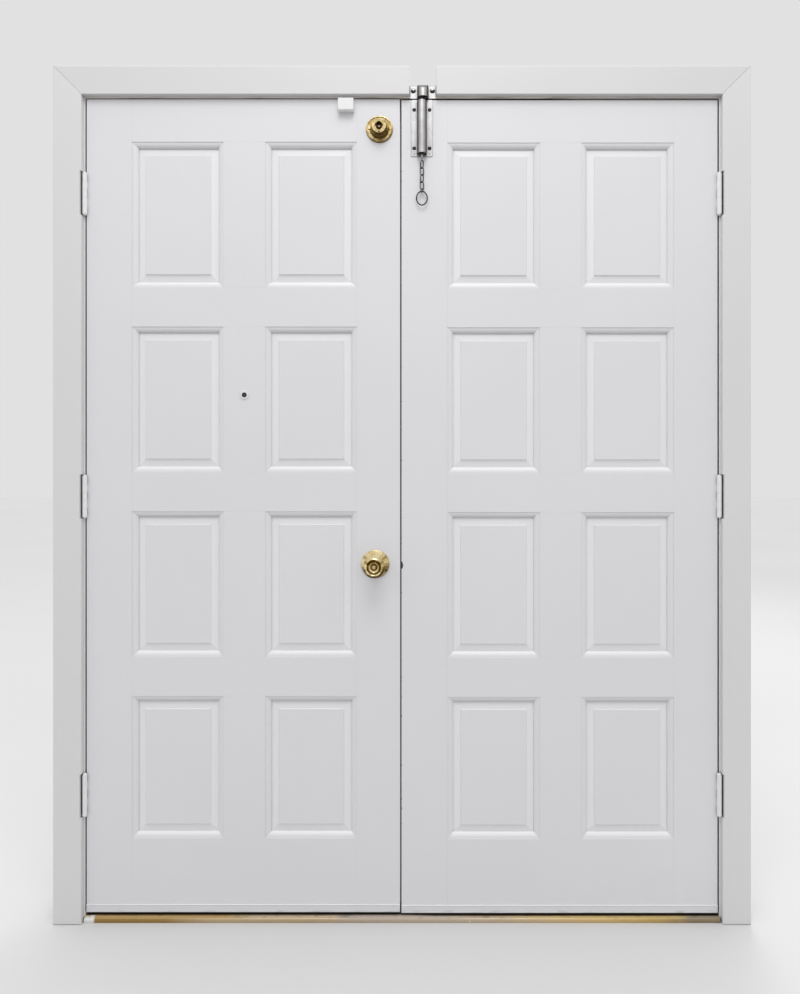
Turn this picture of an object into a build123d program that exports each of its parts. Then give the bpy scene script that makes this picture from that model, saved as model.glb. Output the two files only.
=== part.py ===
from build123d import *
import os
from math import asin, atan, cos, degrees, hypot, radians, sin

# Pair of panelled entrance leaves in their frame, without the wall.
# X runs to the right as seen from the room, Y from the room to the outside, and Z up.
# The origin is on the floor, midway between the side jambs, in the plane of the leaves' room faces.
# All sizes are in millimetres.

os.makedirs("parts", exist_ok=True)

# Leaves
leaf_height = 2032.0
leaf_thick = 44.5
left_leaf_width = 783.0
right_leaf_width = 790.0
left_hinge_gap = 3.5
right_hinge_gap = 4.0
meeting_gap = 4.0
meeting_bevel = 2.3
left_head_gap = 3.0
right_head_gap = 5.0
leaf_lift = 21.0

# Stiles, rails and mullions, measured between the arrises that edge the panels
left_hinge_stile_width = 113.0
left_mullion_width = 104.5
left_lock_stile_width = 107.5
right_meeting_stile_width = 115.0
right_mullion_width = 104.0
right_hinge_stile_width = 109.0
top_rail_width = 106.0
middle_rail_width = 98.0
bottom_rail_width = 182.0
lowest_row_height = 355.0
middle_rail_count = 3

# Moulded edge, worked on both faces of every stile, rail and mullion
stick_width = 14.0
quirk_width = 1.2
quirk_depth = 1.5
ovolo_depth = 8.6
ovolo_rise = 1.8
groove_wall = 11.0
joint_clearance = 0.1

# Raised panels
panel_float = 3.0
panel_clearance = 0.2
panel_bevel_width = 18.5
panel_base_depth = 7.0
panel_shoulder_run = 1.2
panel_field_depth = 4.0

# Bottom strip of each leaf
shoe_base = 3.0
shoe_flange_height = 20.0
shoe_flange_thick = 1.5
shoe_bead_radius = 1.6
shoe_fin_thick = 1.6
shoe_fin_count = 3
shoe_fin_spacing = 9.0
shoe_fin_clearance = 0.3

# Seal in the right leaf's meeting edge
seal_thick = 4.0
seal_from_face = 3.0
seal_proud = 3.8
seal_groove_depth = 6.0
seal_clearance = 0.05

# Frame
jamb_thick = 32.0
jamb_depth = 116.0
stop_proud = 12.5
stop_clearance = 4.0
casing_width = 69.85
casing_thick = 16.0
casing_reveal = 3.2
casing_arris_radius = 1.5
casing_notch_depth = 3.5
casing_notch_margin = 4.0
kerf_width = 2.6
kerf_depth = 9.0
kerf_inset = 2.4
strip_width = 9.5
strip_inset = 1.0
strip_corner = 1.6
strip_stem_play = 0.1
strip_clearance = 0.3

# Threshold
threshold_height = 12.7
threshold_nose_height = 10.0
threshold_front = 9.0
threshold_ramp = 13.0
threshold_back = 11.5
threshold_back_height = 6.0
threshold_flat_end = 62.0
threshold_wall = 2.4
threshold_rib = 2.6
threshold_nose_round = 3.0
threshold_nose_bulge = 0.8
flute_width = 3.0
flute_depth = 1.0
flute_count = 4
flute_spacing = 9.0
flute_inset = 6.0

# Butt hinges
hinge_height = 101.6
hinge_plate_thick = 2.5
hinge_plate_reach = 32.0
hinge_pin_stand = 6.5
knuckle_radius = 5.7
knuckle_count = 5
knuckle_play = 0.2
knuckle_relief = 0.5
hinge_pin_radius = 3.2
hinge_pin_clearance = 0.05
hinge_tip_radius = 4.4
hinge_tip_height = 3.2
hinge_tip_round = 1.8
top_hinge_below_head = 241.0
middle_hinge_height = 1061.0
bottom_hinge_height = 317.0

# Lock and latch bores
cross_bore_radius = 27.0
edge_bore_radius = 12.7
faceplate_height = 57.0
faceplate_width = 25.4
faceplate_thick = 2.4
faceplate_corner = 6.0
faceplate_screw_offset = 22.0
screw_shank_radius = 1.9
screw_hole_clearance = 0.1
screw_length = 11.5
screw_slot_width = 1.1
screw_slot_share = 0.6
case_play = 0.2
bolt_play = 0.2
bolt_tail_width = 3.0
bolt_tail_height = 10.0
bolt_tail_gap = 1.5
bolt_nose_slope = 0.75
case_tail_thick = 2.5
case_tail_height = 17.0
case_tail_overrun = 9.0
hub_radius = 7.0

# Latch and knobs
latch_backset = 61.5
knob_height = 891.5
latch_bolt_width = 12.0
latch_bolt_height = 14.0
latch_bolt_length = 24.0
latch_throw = 12.7
latch_nose = 11.0
knob_radius = 27.0
knob_stand = 59.0
knob_neck_radius = 9.5
knob_neck_clearance = 0.3
knob_neck_sink = 6.0
knob_neck_stand = 19.0
knob_flare_radius = 17.5
knob_flare_stand = 34.0
knob_flare_bulge = 2.3
knob_back_bulge = 1.4
knob_widest_stand = 46.0
knob_side_bulge = 2.0
knob_rim_radius = 21.0
knob_lip_bulge = 0.7
knob_lip_fall = 2.0
knob_dish_radius = 16.8
knob_dish_depth = 10.5
knob_dish_bulge = 2.3
knob_boss_radius = 9.0
knob_boss_rise = 4.0
knob_boss_margin = 1.2
spindle_hole_stand = 14.0
spindle_stand = 12.0
rose_radius = 35.0
rose_edge = 1.4
rose_edge_width = 2.0
rose_edge_bulge = 0.45
rose_shoulder = 2.8
rose_dome_bulge = 0.8
rose_crown = 9.0
rose_collar_radius = 14.5
rose_collar_rise = 4.0
rose_collar_taper = 1.5
spindle_radius = 4.0
spindle_clearance = 0.1
button_radius = 3.7
button_clearance = 0.2
button_length = 12.0
button_proud = 4.0
button_room = 3.5
button_round = 1.2

# Dead bolt
deadbolt_backset = 51.0
deadbolt_below_top = 75.5
deadbolt_width = 12.4
deadbolt_height = 19.0
deadbolt_length = 40.0
deadbolt_throw = 25.0
deadbolt_nose = 1.5
collar_radius = 33.5
collar_edge = 1.6
collar_lip = 3.2
collar_lip_width = 2.2
collar_lip_bulge = 0.6
collar_seat = 2.1
collar_groove_radius = 29.5
collar_waist_radius = 23.4
collar_waist_foot = 2.5
collar_waist_top = 12.1
collar_waist_taper = 1.8
collar_waist_bulge = 0.55
collar_ledge_radius = 20.0
collar_ledge_rise = 1.0
collar_side_radius = 19.4
collar_face_radius = 17.6
collar_face_fall = 2.0
collar_stand = 25.5
collar_sink = 13.0
collar_sink_radius = 16.0
collar_screw_offset = 26.4
collar_screw_radius = 2.4
collar_screw_dome = 1.2
collar_hole_offset = 15.2
collar_hole_radius = 2.0
collar_hole_depth = 3.0
key_oval_width = 16.0
key_oval_height = 22.0
key_oval_depth = 5.0
plug_radius = 6.4
plug_clearance = 0.08
plug_sink = 0.2
keyway_width = 1.8
keyway_height = 8.5
keyway_depth = 18.0
tailpiece_width = 5.0
tailpiece_thick = 1.6
tailpiece_gap = 1.0

# Strike plates and pockets in the right leaf's meeting edge
strike_height = 57.0
strike_width = 28.0
strike_thick = 1.6
strike_corner = 3.0
strike_margin = 1.0
pocket_margin = 2.5
pocket_end_clearance = 2.5

# Door viewer
viewer_height = 1314.0
viewer_flange_radius = 11.0
viewer_flange_thick = 2.0
viewer_flange_round = 1.0
viewer_flange_bulge = 0.29
viewer_barrel_radius = 7.0
viewer_barrel_wall = 1.2
viewer_eyepiece_wall = 0.9
viewer_clearance = 0.1
viewer_bore_play = 0.3
viewer_eyepiece_length = 28.0
viewer_barrel_length = 38.0
viewer_opening = 6.35
viewer_lens_sink = 0.8
lens_clearance = 0.05
lens_rise = 0.6

# Contact sensor on the left leaf
sensor_width = 39.0
sensor_height = 30.0
sensor_thick = 18.0
sensor_corner = 2.5
sensor_from_edge = 114.5
sensor_below_top = 3.5
sensor_seam_height = 5.0
sensor_seam_width = 0.8
sensor_arris = 2.0

# Pull-chain bolt on the right leaf, and its keeper on the head jamb
bolt_offset = 51.0
bolt_plate_width = 54.0
bolt_plate_height = 141.5
bolt_plate_thick = 1.6
bolt_plate_corner = 3.0
housing_half_width = 12.1
housing_wall = 1.6
housing_axis_stand = 8.4
housing_below_top = 6.0
housing_above_bottom = 4.5
housing_seat_height = 8.0
housing_seat_thick = 2.0
housing_guide_thick = 3.0
rod_radius = 6.35
rod_below_top = 1.7
rod_head_length = 58.0
rod_stem_radius = 2.5
rod_stem_clearance = 0.1
rod_clearance = 0.1
rod_tip_radius = 1.5
eye_radius = 5.6
eye_hole_radius = 3.5
eye_thick = 2.0
eye_below_plate = 10.5
eye_play = 0.75
spring_coils = 7
spring_wire_radius = 0.6
spring_radius = 4.6
spring_clearance = 0.3
plate_screw_radius = 4.8
plate_screw_dome = 2.2
plate_screw_across = 38.5
plate_screw_top_inset = 25.0
plate_screw_bottom_inset = 20.5
nail_hole_radius = 1.1
nail_hole_inset = 6.5
keeper_offset = 53.5
keeper_width = 64.0
keeper_height = 31.0
keeper_plate_thick = 1.6
keeper_socket_height = 29.0
keeper_slope_run = 8.3
keeper_slope_fall = 9.0
keeper_half_width = 14.0
keeper_wall = 1.8
keeper_stand = 20.3
keeper_corner = 2.0
keeper_casing_clearance = 1.5
keeper_overhang = 2.0
keeper_screw_across = 48.0
keeper_screw_rise = 19.5
keeper_screw_radius = 6.5
keeper_screw_dome = 3.2

# Chain
link_count = 4
link_wire_radius = 1.1
link_inner_length = 17.75
link_inner_width = 9.0
link_turn = 40.0
link_play = 0.15
coupling_wire_radius = 0.9
coupling_inner_radius = 3.6
ring_wire_radius = 1.5
ring_half_width = 15.0
ring_half_height = 18.7
ring_end_radius = 11.0
ring_play = 0.4

# How far a feature runs into its own piece, or a cut runs past a face
overlap = 1.0

# Places that follow from the sizes above
opening_width = left_hinge_gap + left_leaf_width + meeting_gap + right_leaf_width + right_hinge_gap
jamb_face = opening_width / 2
left_hinge_edge = left_hinge_gap - jamb_face
left_meeting_edge = left_hinge_edge + left_leaf_width
right_meeting_edge = left_meeting_edge + meeting_gap
right_hinge_edge = right_meeting_edge + right_leaf_width
head_face = leaf_lift + leaf_height + left_head_gap
left_top = head_face - left_head_gap
left_bottom = left_top - leaf_height
right_top = head_face - right_head_gap
right_bottom = right_top - leaf_height
stop_face = leaf_thick + stop_clearance
mid_thick = leaf_thick / 2
bevel_angle = degrees(atan(meeting_bevel / leaf_thick))
left_pin_x = -jamb_face + left_hinge_gap / 2
right_pin_x = jamb_face - right_hinge_gap / 2
hinge_heights = (head_face - top_hinge_below_head, middle_hinge_height, bottom_hinge_height)
knob_x = left_meeting_edge - latch_backset
knob_dish_stand = knob_stand - knob_dish_depth
knob_face_stand = knob_dish_stand + knob_boss_rise
deadbolt_x = left_meeting_edge - deadbolt_backset
deadbolt_z = left_top - deadbolt_below_top
collar_screws = [(deadbolt_x + way * collar_screw_offset, -collar_seat, deadbolt_z) for way in (-1, 1)]
bolt_x = right_meeting_edge + bolt_offset
bolt_plate_top = right_top
bolt_plate_bottom = bolt_plate_top - bolt_plate_height
bolt_screws = [
    (bolt_x + way * plate_screw_across / 2, -bolt_plate_thick, z)
    for way in (-1, 1)
    for z in (bolt_plate_top - plate_screw_top_inset, bolt_plate_bottom + plate_screw_bottom_inset)
]
keeper_x = right_meeting_edge + keeper_offset
keeper_bottom = head_face - keeper_overhang
keeper_screws = [
    (keeper_x + way * keeper_screw_across / 2, -keeper_plate_thick, keeper_bottom + keeper_screw_rise)
    for way in (-1, 1)
]


def keep(piece, name):
    """Label a finished piece and write it to its own file."""
    piece.label = name
    export_step(piece, f"parts/{name}.step")


def column_plane(z):
    """Plane for the section of an upright piece: across the leaf, then through its thickness."""
    return Plane.XY.offset(z)


def beam_plane(x):
    """Plane for the section of a level piece that runs left from x: up the leaf, then through it."""
    return Plane(origin=(x, 0, 0), x_dir=(0, 0, 1), z_dir=(-1, 0, 0))


def bulged(start, end, bulge):
    """The middle of an arc that stands bulge to the left of its chord from start to end."""
    run_x = end[0] - start[0]
    run_y = end[1] - start[1]
    chord = hypot(run_x, run_y)
    return (
        (start[0] + end[0]) / 2 - bulge * run_y / chord,
        (start[1] + end[1]) / 2 + bulge * run_x / chord,
    )


def trace_edge(s, way, stuck, bevel=0.0):
    """Draw one long edge of a leaf member from its room face to its outer face.

    s is the arris, and way is +1 or -1, the side that the edge faces. A stuck edge has the quirk and
    ovolo on both faces, with the panel groove between them; any other edge is plain or bevelled.
    """
    if not stuck:
        Line((s, 0), (s - way * bevel, leaf_thick))
        return
    quirk = s + way * quirk_width
    lip = s + way * stick_width
    crown_s, crown_d = bulged((quirk, quirk_depth), (lip, ovolo_depth), -way * ovolo_rise)
    outer = leaf_thick
    Polyline((s, 0), (s, quirk_depth), (quirk, quirk_depth))
    ThreePointArc((quirk, quirk_depth), (crown_s, crown_d), (lip, ovolo_depth))
    Polyline(
        (lip, ovolo_depth),
        (lip, groove_wall),
        (s, groove_wall),
        (s, outer - groove_wall),
        (lip, outer - groove_wall),
        (lip, outer - ovolo_depth),
    )
    ThreePointArc((lip, outer - ovolo_depth), (crown_s, outer - crown_d), (quirk, outer - quirk_depth))
    Polyline((quirk, outer - quirk_depth), (s, outer - quirk_depth), (s, outer))


def member(plane, length, low, high, stuck, bevels=(0.0, 0.0)):
    """A straight leaf member between two arrises, run along the plane's normal."""
    with BuildPart() as piece:
        with BuildSketch(plane):
            with BuildLine():
                trace_edge(high, 1, stuck[1], bevels[1])
                Line((high - bevels[1], leaf_thick), (low + bevels[0], leaf_thick))
                trace_edge(low, -1, stuck[0], bevels[0])
                Line((low, 0), (high, 0))
            make_face()
        extrude(amount=length)
    return piece.part


def coped(blank, cutters):
    """A rail or mullion whose ends are cut to fit over the moulded edges they meet."""
    with BuildPart() as piece:
        add(blank)
        for cutter in cutters:
            add(cutter, mode=Mode.SUBTRACT)
    return piece.part


def raised_panel(width, height):
    """A panel for an opening of this size between arrises, fielded on both faces."""
    slope = (groove_wall + panel_clearance - panel_base_depth) / panel_bevel_width
    tongue = stick_width - panel_float
    edge_depth = groove_wall + panel_clearance + slope * tongue
    base_inset = stick_width + panel_bevel_width
    insets = (
        (panel_float, edge_depth),
        (base_inset, panel_base_depth),
        (base_inset + panel_shoulder_run, panel_field_depth),
    )
    with BuildPart() as panel:
        with BuildSketch(Plane.XZ.offset(-edge_depth)):
            Rectangle(width - 2 * panel_float, height - 2 * panel_float)
        extrude(amount=2 * edge_depth - leaf_thick)
        for (low_inset, low_depth), (high_inset, high_depth) in zip(insets, insets[1:]):
            for low_y, high_y in (
                (low_depth, high_depth),
                (leaf_thick - low_depth, leaf_thick - high_depth),
            ):
                with BuildSketch(Plane.XZ.offset(-low_y)):
                    Rectangle(width - 2 * low_inset, height - 2 * low_inset)
                with BuildSketch(Plane.XZ.offset(-high_y)):
                    Rectangle(width - 2 * high_inset, height - 2 * high_inset)
                loft(ruled=True)
    return panel.part


def copies(piece, places):
    """Separate solids of one form, one at each place."""
    with BuildPart() as group:
        with Locations(*places):
            add(piece)
    return group.part


def cut_box(x_range, y_range, z_range):
    """A box between two corners, used to cut mortises, pockets and notches."""
    with BuildPart() as box:
        with BuildSketch(Plane.XY.offset(z_range[0])):
            with Locations(((x_range[0] + x_range[1]) / 2, (y_range[0] + y_range[1]) / 2)):
                Rectangle(x_range[1] - x_range[0], y_range[1] - y_range[0])
        extrude(amount=z_range[1] - z_range[0])
    return box.part


def round_bar(origin, direction, radius, length):
    """A cylinder that starts at origin and runs along direction."""
    with BuildPart() as bar:
        with BuildSketch(Plane(origin=origin, z_dir=direction)):
            Circle(radius)
        extrude(amount=length)
    return bar.part


def minus(piece, cutters):
    """The piece with every cutter taken out of it."""
    with BuildPart() as rest:
        add(piece)
        for cutter in cutters:
            add(cutter, mode=Mode.SUBTRACT)
    return rest.part


def cap_middle(radius, rise):
    """Halfway point of the arc from a cap's rim to its top: distance from the axis, and rise."""
    sphere = (radius**2 + rise**2) / (2 * rise)
    half_angle = asin(radius / sphere) / 2
    return sphere * sin(half_angle), sphere * cos(half_angle) - sphere + rise


def dome_screw(place, head_radius, dome):
    """A slotted round-head screw whose head sits at place, with its shank running into the wood."""
    x, y, z = place
    middle = cap_middle(head_radius, dome)
    with BuildPart() as screw:
        with BuildSketch(Plane(origin=(x, 0, z), x_dir=(1, 0, 0), z_dir=(0, 0, 1))):
            with BuildLine():
                Polyline((0, y + screw_length), (screw_shank_radius, y + screw_length))
                Polyline((screw_shank_radius, y + screw_length), (screw_shank_radius, y), (head_radius, y))
                ThreePointArc((head_radius, y), (middle[0], y - middle[1]), (0, y - dome))
                Line((0, y - dome), (0, y + screw_length))
            make_face()
        revolve(axis=Axis((x, 0, z), (0, 1, 0)))
    slot = cut_box(
        (x - head_radius, x + head_radius),
        (y - dome, y - dome * (1 - screw_slot_share)),
        (z - screw_slot_width / 2, z + screw_slot_width / 2),
    )
    return minus(screw.part, [slot])


def screw_holes(places):
    """Holes for the shanks of round-head screws, from each head into the wood."""
    radius = screw_shank_radius + screw_hole_clearance
    return [round_bar(place, (0, 1, 0), radius, screw_length + screw_hole_clearance) for place in places]


def meeting_plane(z, left):
    """Plane on the middle of a meeting edge at height z, facing out of that edge, with its x upward."""
    if left:
        origin = (left_meeting_edge - meeting_bevel / 2, mid_thick, z)
        normal = (cos(radians(bevel_angle)), sin(radians(bevel_angle)), 0)
    else:
        origin = (right_meeting_edge + meeting_bevel / 2, mid_thick, z)
        normal = (-cos(radians(bevel_angle)), sin(radians(bevel_angle)), 0)
    return Plane(origin=origin, x_dir=(0, 0, 1), z_dir=normal)


def edge_mortise(z, left, height, width, depth, corner):
    """The shallow pocket that lets a plate lie flush in a meeting edge."""
    with BuildPart() as mortise:
        with BuildSketch(meeting_plane(z, left).offset(overlap)):
            RectangleRounded(height, width, corner)
        extrude(amount=-overlap - depth)
    return mortise.part


# Woodwork of a leaf
def leaf_members(left_edge, widths, wood_bottom, wood_top, bevels):
    """All the wooden pieces of one leaf, in a dictionary by their place in it.

    widths holds the first stile, the mullion and the last stile, from left to right.
    """
    first_width, mullion_width, last_width, leaf_width = widths
    column = (leaf_width - first_width - mullion_width - last_width) / 2
    a = left_edge + first_width
    b = a + column
    c = b + mullion_width
    d = c + column
    right_edge = d + last_width
    height = wood_top - wood_bottom

    rail_heights = top_rail_width + middle_rail_count * middle_rail_width + bottom_rail_width
    row_height = (height - rail_heights - lowest_row_height) / middle_rail_count
    rail_spans = [(wood_bottom, wood_bottom + bottom_rail_width)]
    row_spans = []
    for row in range(middle_rail_count + 1):
        floor = rail_spans[-1][1]
        ceiling = floor + (lowest_row_height if row == 0 else row_height)
        row_spans.append((floor, ceiling))
        rail_top = wood_top if row == middle_rail_count else ceiling + middle_rail_width
        rail_spans.append((ceiling, rail_top))

    foot = column_plane(wood_bottom)
    gap = joint_clearance
    first = member(foot, height, left_edge, a, (False, True), (bevels[0], 0.0))
    last = member(foot, height, d, right_edge, (True, False), (0.0, bevels[1]))
    stile_copes = (
        member(foot, height, left_edge, a + gap, (False, True)),
        member(foot, height, d - gap, right_edge, (True, False)),
    )
    rails = []
    for level, (low, high) in enumerate(rail_spans):
        stuck = (level > 0, level <= middle_rail_count)
        rails.append(coped(member(beam_plane(d), d - a, low, high, stuck), stile_copes))
    mullions = []
    for level, (floor, ceiling) in enumerate(row_spans):
        below, above = rail_spans[level], rail_spans[level + 1]
        rail_copes = (
            member(beam_plane(d), d - a, below[0], floor + gap, (False, True)),
            member(beam_plane(d), d - a, ceiling - gap, above[1], (True, False)),
        )
        blank = member(column_plane(floor), ceiling - floor, b, c, (True, True))
        mullions.append(coped(blank, rail_copes))
    panels = []
    for level, (floor, ceiling) in enumerate(row_spans):
        panel = raised_panel(column, ceiling - floor)
        middle = (floor + ceiling) / 2
        panels += [Pos((a + b) / 2, 0, middle) * panel, Pos((c + d) / 2, 0, middle) * panel]
    return {
        "first_stile": first,
        "last_stile": last,
        "bottom_rail": rails[0],
        "middle_rails": rails[1:-1],
        "top_rail": rails[-1],
        "mullions": mullions,
        "panels": panels,
        "mullion_middle": (b + c) / 2,
        "lip_edges": (a, d),
    }


def together(pieces):
    """Several separate solids as one node."""
    with BuildPart() as group:
        for piece in pieces:
            add(piece)
    return group.part


def hinge_gains(edge, inward):
    """Mortises for the hinge plates in a leaf's or a jamb's edge, cut inward from that edge."""
    sides = sorted((edge, edge + inward * hinge_plate_thick))
    return [
        cut_box(sides, (0, hinge_plate_reach), (z - hinge_height / 2, z + hinge_height / 2))
        for z in hinge_heights
    ]


# Left leaf
left_wood_bottom = left_bottom + shoe_base
left = leaf_members(
    left_hinge_edge,
    (left_hinge_stile_width, left_mullion_width, left_lock_stile_width, left_leaf_width),
    left_wood_bottom,
    left_top,
    (0.0, meeting_bevel),
)


def lock_bores(z, backset):
    """The cross bore through a leaf's faces and the edge bore that meets it."""
    centre_x = left_meeting_edge - backset
    return [
        round_bar((centre_x, 0, z), (0, 1, 0), cross_bore_radius, leaf_thick),
        round_bar((centre_x, mid_thick, z), (1, 0, 0), edge_bore_radius, backset),
        edge_mortise(z, True, faceplate_height, faceplate_width, faceplate_thick, faceplate_corner),
    ]


left_lock_stile = minus(
    left["last_stile"],
    lock_bores(knob_height, latch_backset)
    + lock_bores(deadbolt_z, deadbolt_backset)
    + screw_holes(collar_screws),
)
left_hinge_stile = minus(left["first_stile"], hinge_gains(left_hinge_edge, 1))
viewer_bore = round_bar(
    (left["mullion_middle"], 0, viewer_height), (0, 1, 0), viewer_barrel_radius + viewer_bore_play, leaf_thick
)
left_mullions = minus(together(left["mullions"]), [viewer_bore])
left_middle_rails = minus(together(left["middle_rails"]), [viewer_bore])

keep(left_hinge_stile, "left_hinge_stile")
keep(left_lock_stile, "left_lock_stile")
keep(left["top_rail"], "left_top_rail")
keep(left_middle_rails, "left_middle_rails")
keep(left["bottom_rail"], "left_bottom_rail")
keep(left_mullions, "left_mullions")
keep(together(left["panels"]), "left_panels")

# Right leaf
right_wood_bottom = right_bottom + shoe_base
right = leaf_members(
    right_meeting_edge,
    (right_meeting_stile_width, right_mullion_width, right_hinge_stile_width, right_leaf_width),
    right_wood_bottom,
    right_top,
    (meeting_bevel, 0.0),
)


def strike_pocket(z, bolt_width, bolt_height, throw):
    """The pocket behind a strike plate, from the meeting edge inward."""
    half_y = bolt_width / 2 + pocket_margin
    half_z = bolt_height / 2 + pocket_margin
    depth = throw + pocket_end_clearance
    return cut_box(
        (right_meeting_edge, right_meeting_edge + depth),
        (mid_thick - half_y, mid_thick + half_y),
        (z - half_z, z + half_z),
    )


latch_pocket = strike_pocket(knob_height, latch_bolt_width, latch_bolt_height, latch_throw)
deadbolt_pocket = strike_pocket(deadbolt_z, deadbolt_width, deadbolt_height, deadbolt_throw)
strike_mortises = [
    edge_mortise(z, False, strike_height, strike_width, strike_thick, strike_corner)
    for z in (knob_height, deadbolt_z)
]
seal_groove = cut_box(
    (right_meeting_edge, right_meeting_edge + seal_groove_depth),
    (seal_from_face, seal_from_face + seal_thick),
    (right_wood_bottom, right_top),
)
right_meeting_stile = minus(
    right["first_stile"],
    [latch_pocket, deadbolt_pocket, seal_groove] + strike_mortises + screw_holes(bolt_screws),
)
right_hinge_stile = minus(right["last_stile"], hinge_gains(right_hinge_edge, -1))

keep(right_hinge_stile, "right_hinge_stile")
keep(right_meeting_stile, "right_meeting_stile")
keep(right["top_rail"], "right_top_rail")
keep(together(right["middle_rails"]), "right_middle_rails")
keep(right["bottom_rail"], "right_bottom_rail")
keep(together(right["mullions"]), "right_mullions")
keep(together(right["panels"]), "right_panels")


# Bottom strips: a flange on the room face, a base under the leaf and fins that brush the threshold
def door_shoe(first_x, last_x, base_first, base_last, bottom):
    """The strip under a leaf, between two x positions, with its base held inside the bevelled edge."""
    fin_bottom = threshold_height + shoe_fin_clearance
    flange_top = bottom + shoe_flange_height
    with BuildPart() as shoe:
        with BuildSketch(Plane.YZ.offset(first_x)):
            with BuildLine():
                Polyline((0, flange_top), (0, bottom), (-shoe_flange_thick, bottom))
                Line((-shoe_flange_thick, bottom), (-shoe_flange_thick, flange_top - shoe_bead_radius))
                ThreePointArc(
                    (-shoe_flange_thick, flange_top - shoe_bead_radius),
                    (-shoe_flange_thick - shoe_bead_radius / 2, flange_top - shoe_bead_radius / 2),
                    (-shoe_flange_thick, flange_top),
                )
                Line((-shoe_flange_thick, flange_top), (0, flange_top))
            make_face()
        extrude(amount=last_x - first_x)
        with BuildSketch(Plane.YZ.offset(base_first)):
            with Locations((mid_thick, bottom + shoe_base / 2)):
                Rectangle(leaf_thick, shoe_base)
            for fin in range(shoe_fin_count):
                y = mid_thick + (fin - (shoe_fin_count - 1) / 2) * shoe_fin_spacing
                with Locations((y, (fin_bottom + bottom + shoe_base) / 2)):
                    Rectangle(shoe_fin_thick, bottom + shoe_base - fin_bottom)
        extrude(amount=base_last - base_first)
    return shoe.part


keep(
    door_shoe(
        left_hinge_edge,
        left_meeting_edge,
        left_hinge_edge,
        left_meeting_edge - meeting_bevel,
        left_bottom,
    ),
    "left_door_shoe",
)
keep(
    door_shoe(
        right_meeting_edge,
        right_hinge_edge,
        right_meeting_edge + meeting_bevel,
        right_hinge_edge,
        right_bottom,
    ),
    "right_door_shoe",
)


# Seal strip in its groove, standing out across the gap between the leaves
seal_edge = right_meeting_edge + meeting_bevel * (seal_from_face + seal_thick / 2) / leaf_thick
keep(
    cut_box(
        (seal_edge - seal_proud, right_meeting_edge + seal_groove_depth - seal_clearance),
        (seal_from_face + seal_clearance, seal_from_face + seal_thick - seal_clearance),
        (right_wood_bottom, right_top),
    ),
    "meeting_seal",
)


# Frame: rabbeted jambs
def side_jamb(way):
    """A side jamb with its rabbet, stop, seal kerf and hinge mortises. way is -1 for the left one."""
    inner = way * jamb_face
    outer = way * (jamb_face + jamb_thick)
    stop = way * (jamb_face - stop_proud)
    kerf = sorted((inner - way * kerf_inset, inner - way * (kerf_inset + kerf_width)))
    with BuildPart() as blank:
        with BuildSketch(Plane.XY):
            with BuildLine():
                Polyline(
                    (outer, 0),
                    (inner, 0),
                    (inner, stop_face),
                    (stop, stop_face),
                    (stop, jamb_depth),
                    (outer, jamb_depth),
                    close=True,
                )
            make_face()
        extrude(amount=head_face + jamb_thick)
    kerf_cut = cut_box(kerf, (stop_face, stop_face + kerf_depth), (0, head_face - kerf_inset))
    return minus(blank.part, [kerf_cut] + hinge_gains(inner, way))


def head_jamb():
    """The head jamb, let in between the side jambs, with the same rabbet, stop and kerf."""
    with BuildPart() as blank:
        with BuildSketch(Plane.YZ.offset(-jamb_face)):
            with BuildLine():
                Polyline(
                    (0, head_face),
                    (0, head_face + jamb_thick),
                    (jamb_depth, head_face + jamb_thick),
                    (jamb_depth, head_face - stop_proud),
                    (stop_face, head_face - stop_proud),
                    (stop_face, head_face),
                    close=True,
                )
            make_face()
        extrude(amount=2 * jamb_face)
    cuts = []
    for way in (-1, 1):
        ends = sorted((way * jamb_face, way * (jamb_face - stop_proud)))
        cuts.append(
            cut_box(ends, (stop_face, jamb_depth), (head_face - stop_proud, head_face + jamb_thick))
        )
    kerf_top = head_face - kerf_inset
    run = jamb_face - stop_proud
    cuts.append(
        cut_box((-run, run), (stop_face, stop_face + kerf_depth), (kerf_top - kerf_width, kerf_top))
    )
    return minus(blank.part, cuts + screw_holes(keeper_screws))


keep(side_jamb(-1), "jamb_left")
keep(side_jamb(1), "jamb_right")
keep(head_jamb(), "jamb_head")


# Seals in the jambs' kerfs: a stem in the kerf and a bulb that the closed leaf presses
def jamb_seals():
    bulb_front = leaf_thick + strip_clearance
    stem_front = stop_face - overlap
    stem_back = stop_face + kerf_depth - strip_clearance
    stem_half = kerf_width / 2 - strip_stem_play
    stem_centre = kerf_inset + kerf_width / 2
    seals = []
    side_top = head_face - kerf_inset - strip_width
    for way in (-1, 1):
        with BuildPart() as seal:
            with BuildSketch(Plane.XY.offset(threshold_height + strip_clearance)):
                centre_x = way * (jamb_face - strip_inset - strip_width / 2)
                with Locations((centre_x, (bulb_front + stop_face) / 2)):
                    RectangleRounded(strip_width, stop_face - bulb_front, strip_corner)
                with Locations((way * (jamb_face - stem_centre), (stem_front + stem_back) / 2)):
                    Rectangle(2 * stem_half, stem_back - stem_front)
            extrude(amount=side_top - threshold_height - strip_clearance)
        seals.append(seal.part)
    with BuildPart() as seal:
        run = jamb_face - stop_proud - strip_clearance
        with BuildSketch(Plane.YZ.offset(-run)):
            centre_z = head_face - strip_inset - strip_width / 2
            with Locations(((bulb_front + stop_face) / 2, centre_z)):
                RectangleRounded(stop_face - bulb_front, strip_width, strip_corner)
            with Locations(((stem_front + stem_back) / 2, head_face - stem_centre)):
                Rectangle(stem_back - stem_front, 2 * stem_half)
        extrude(amount=2 * run)
    seals.append(seal.part)
    return together(seals)


keep(jamb_seals(), "weatherstrips")

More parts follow.
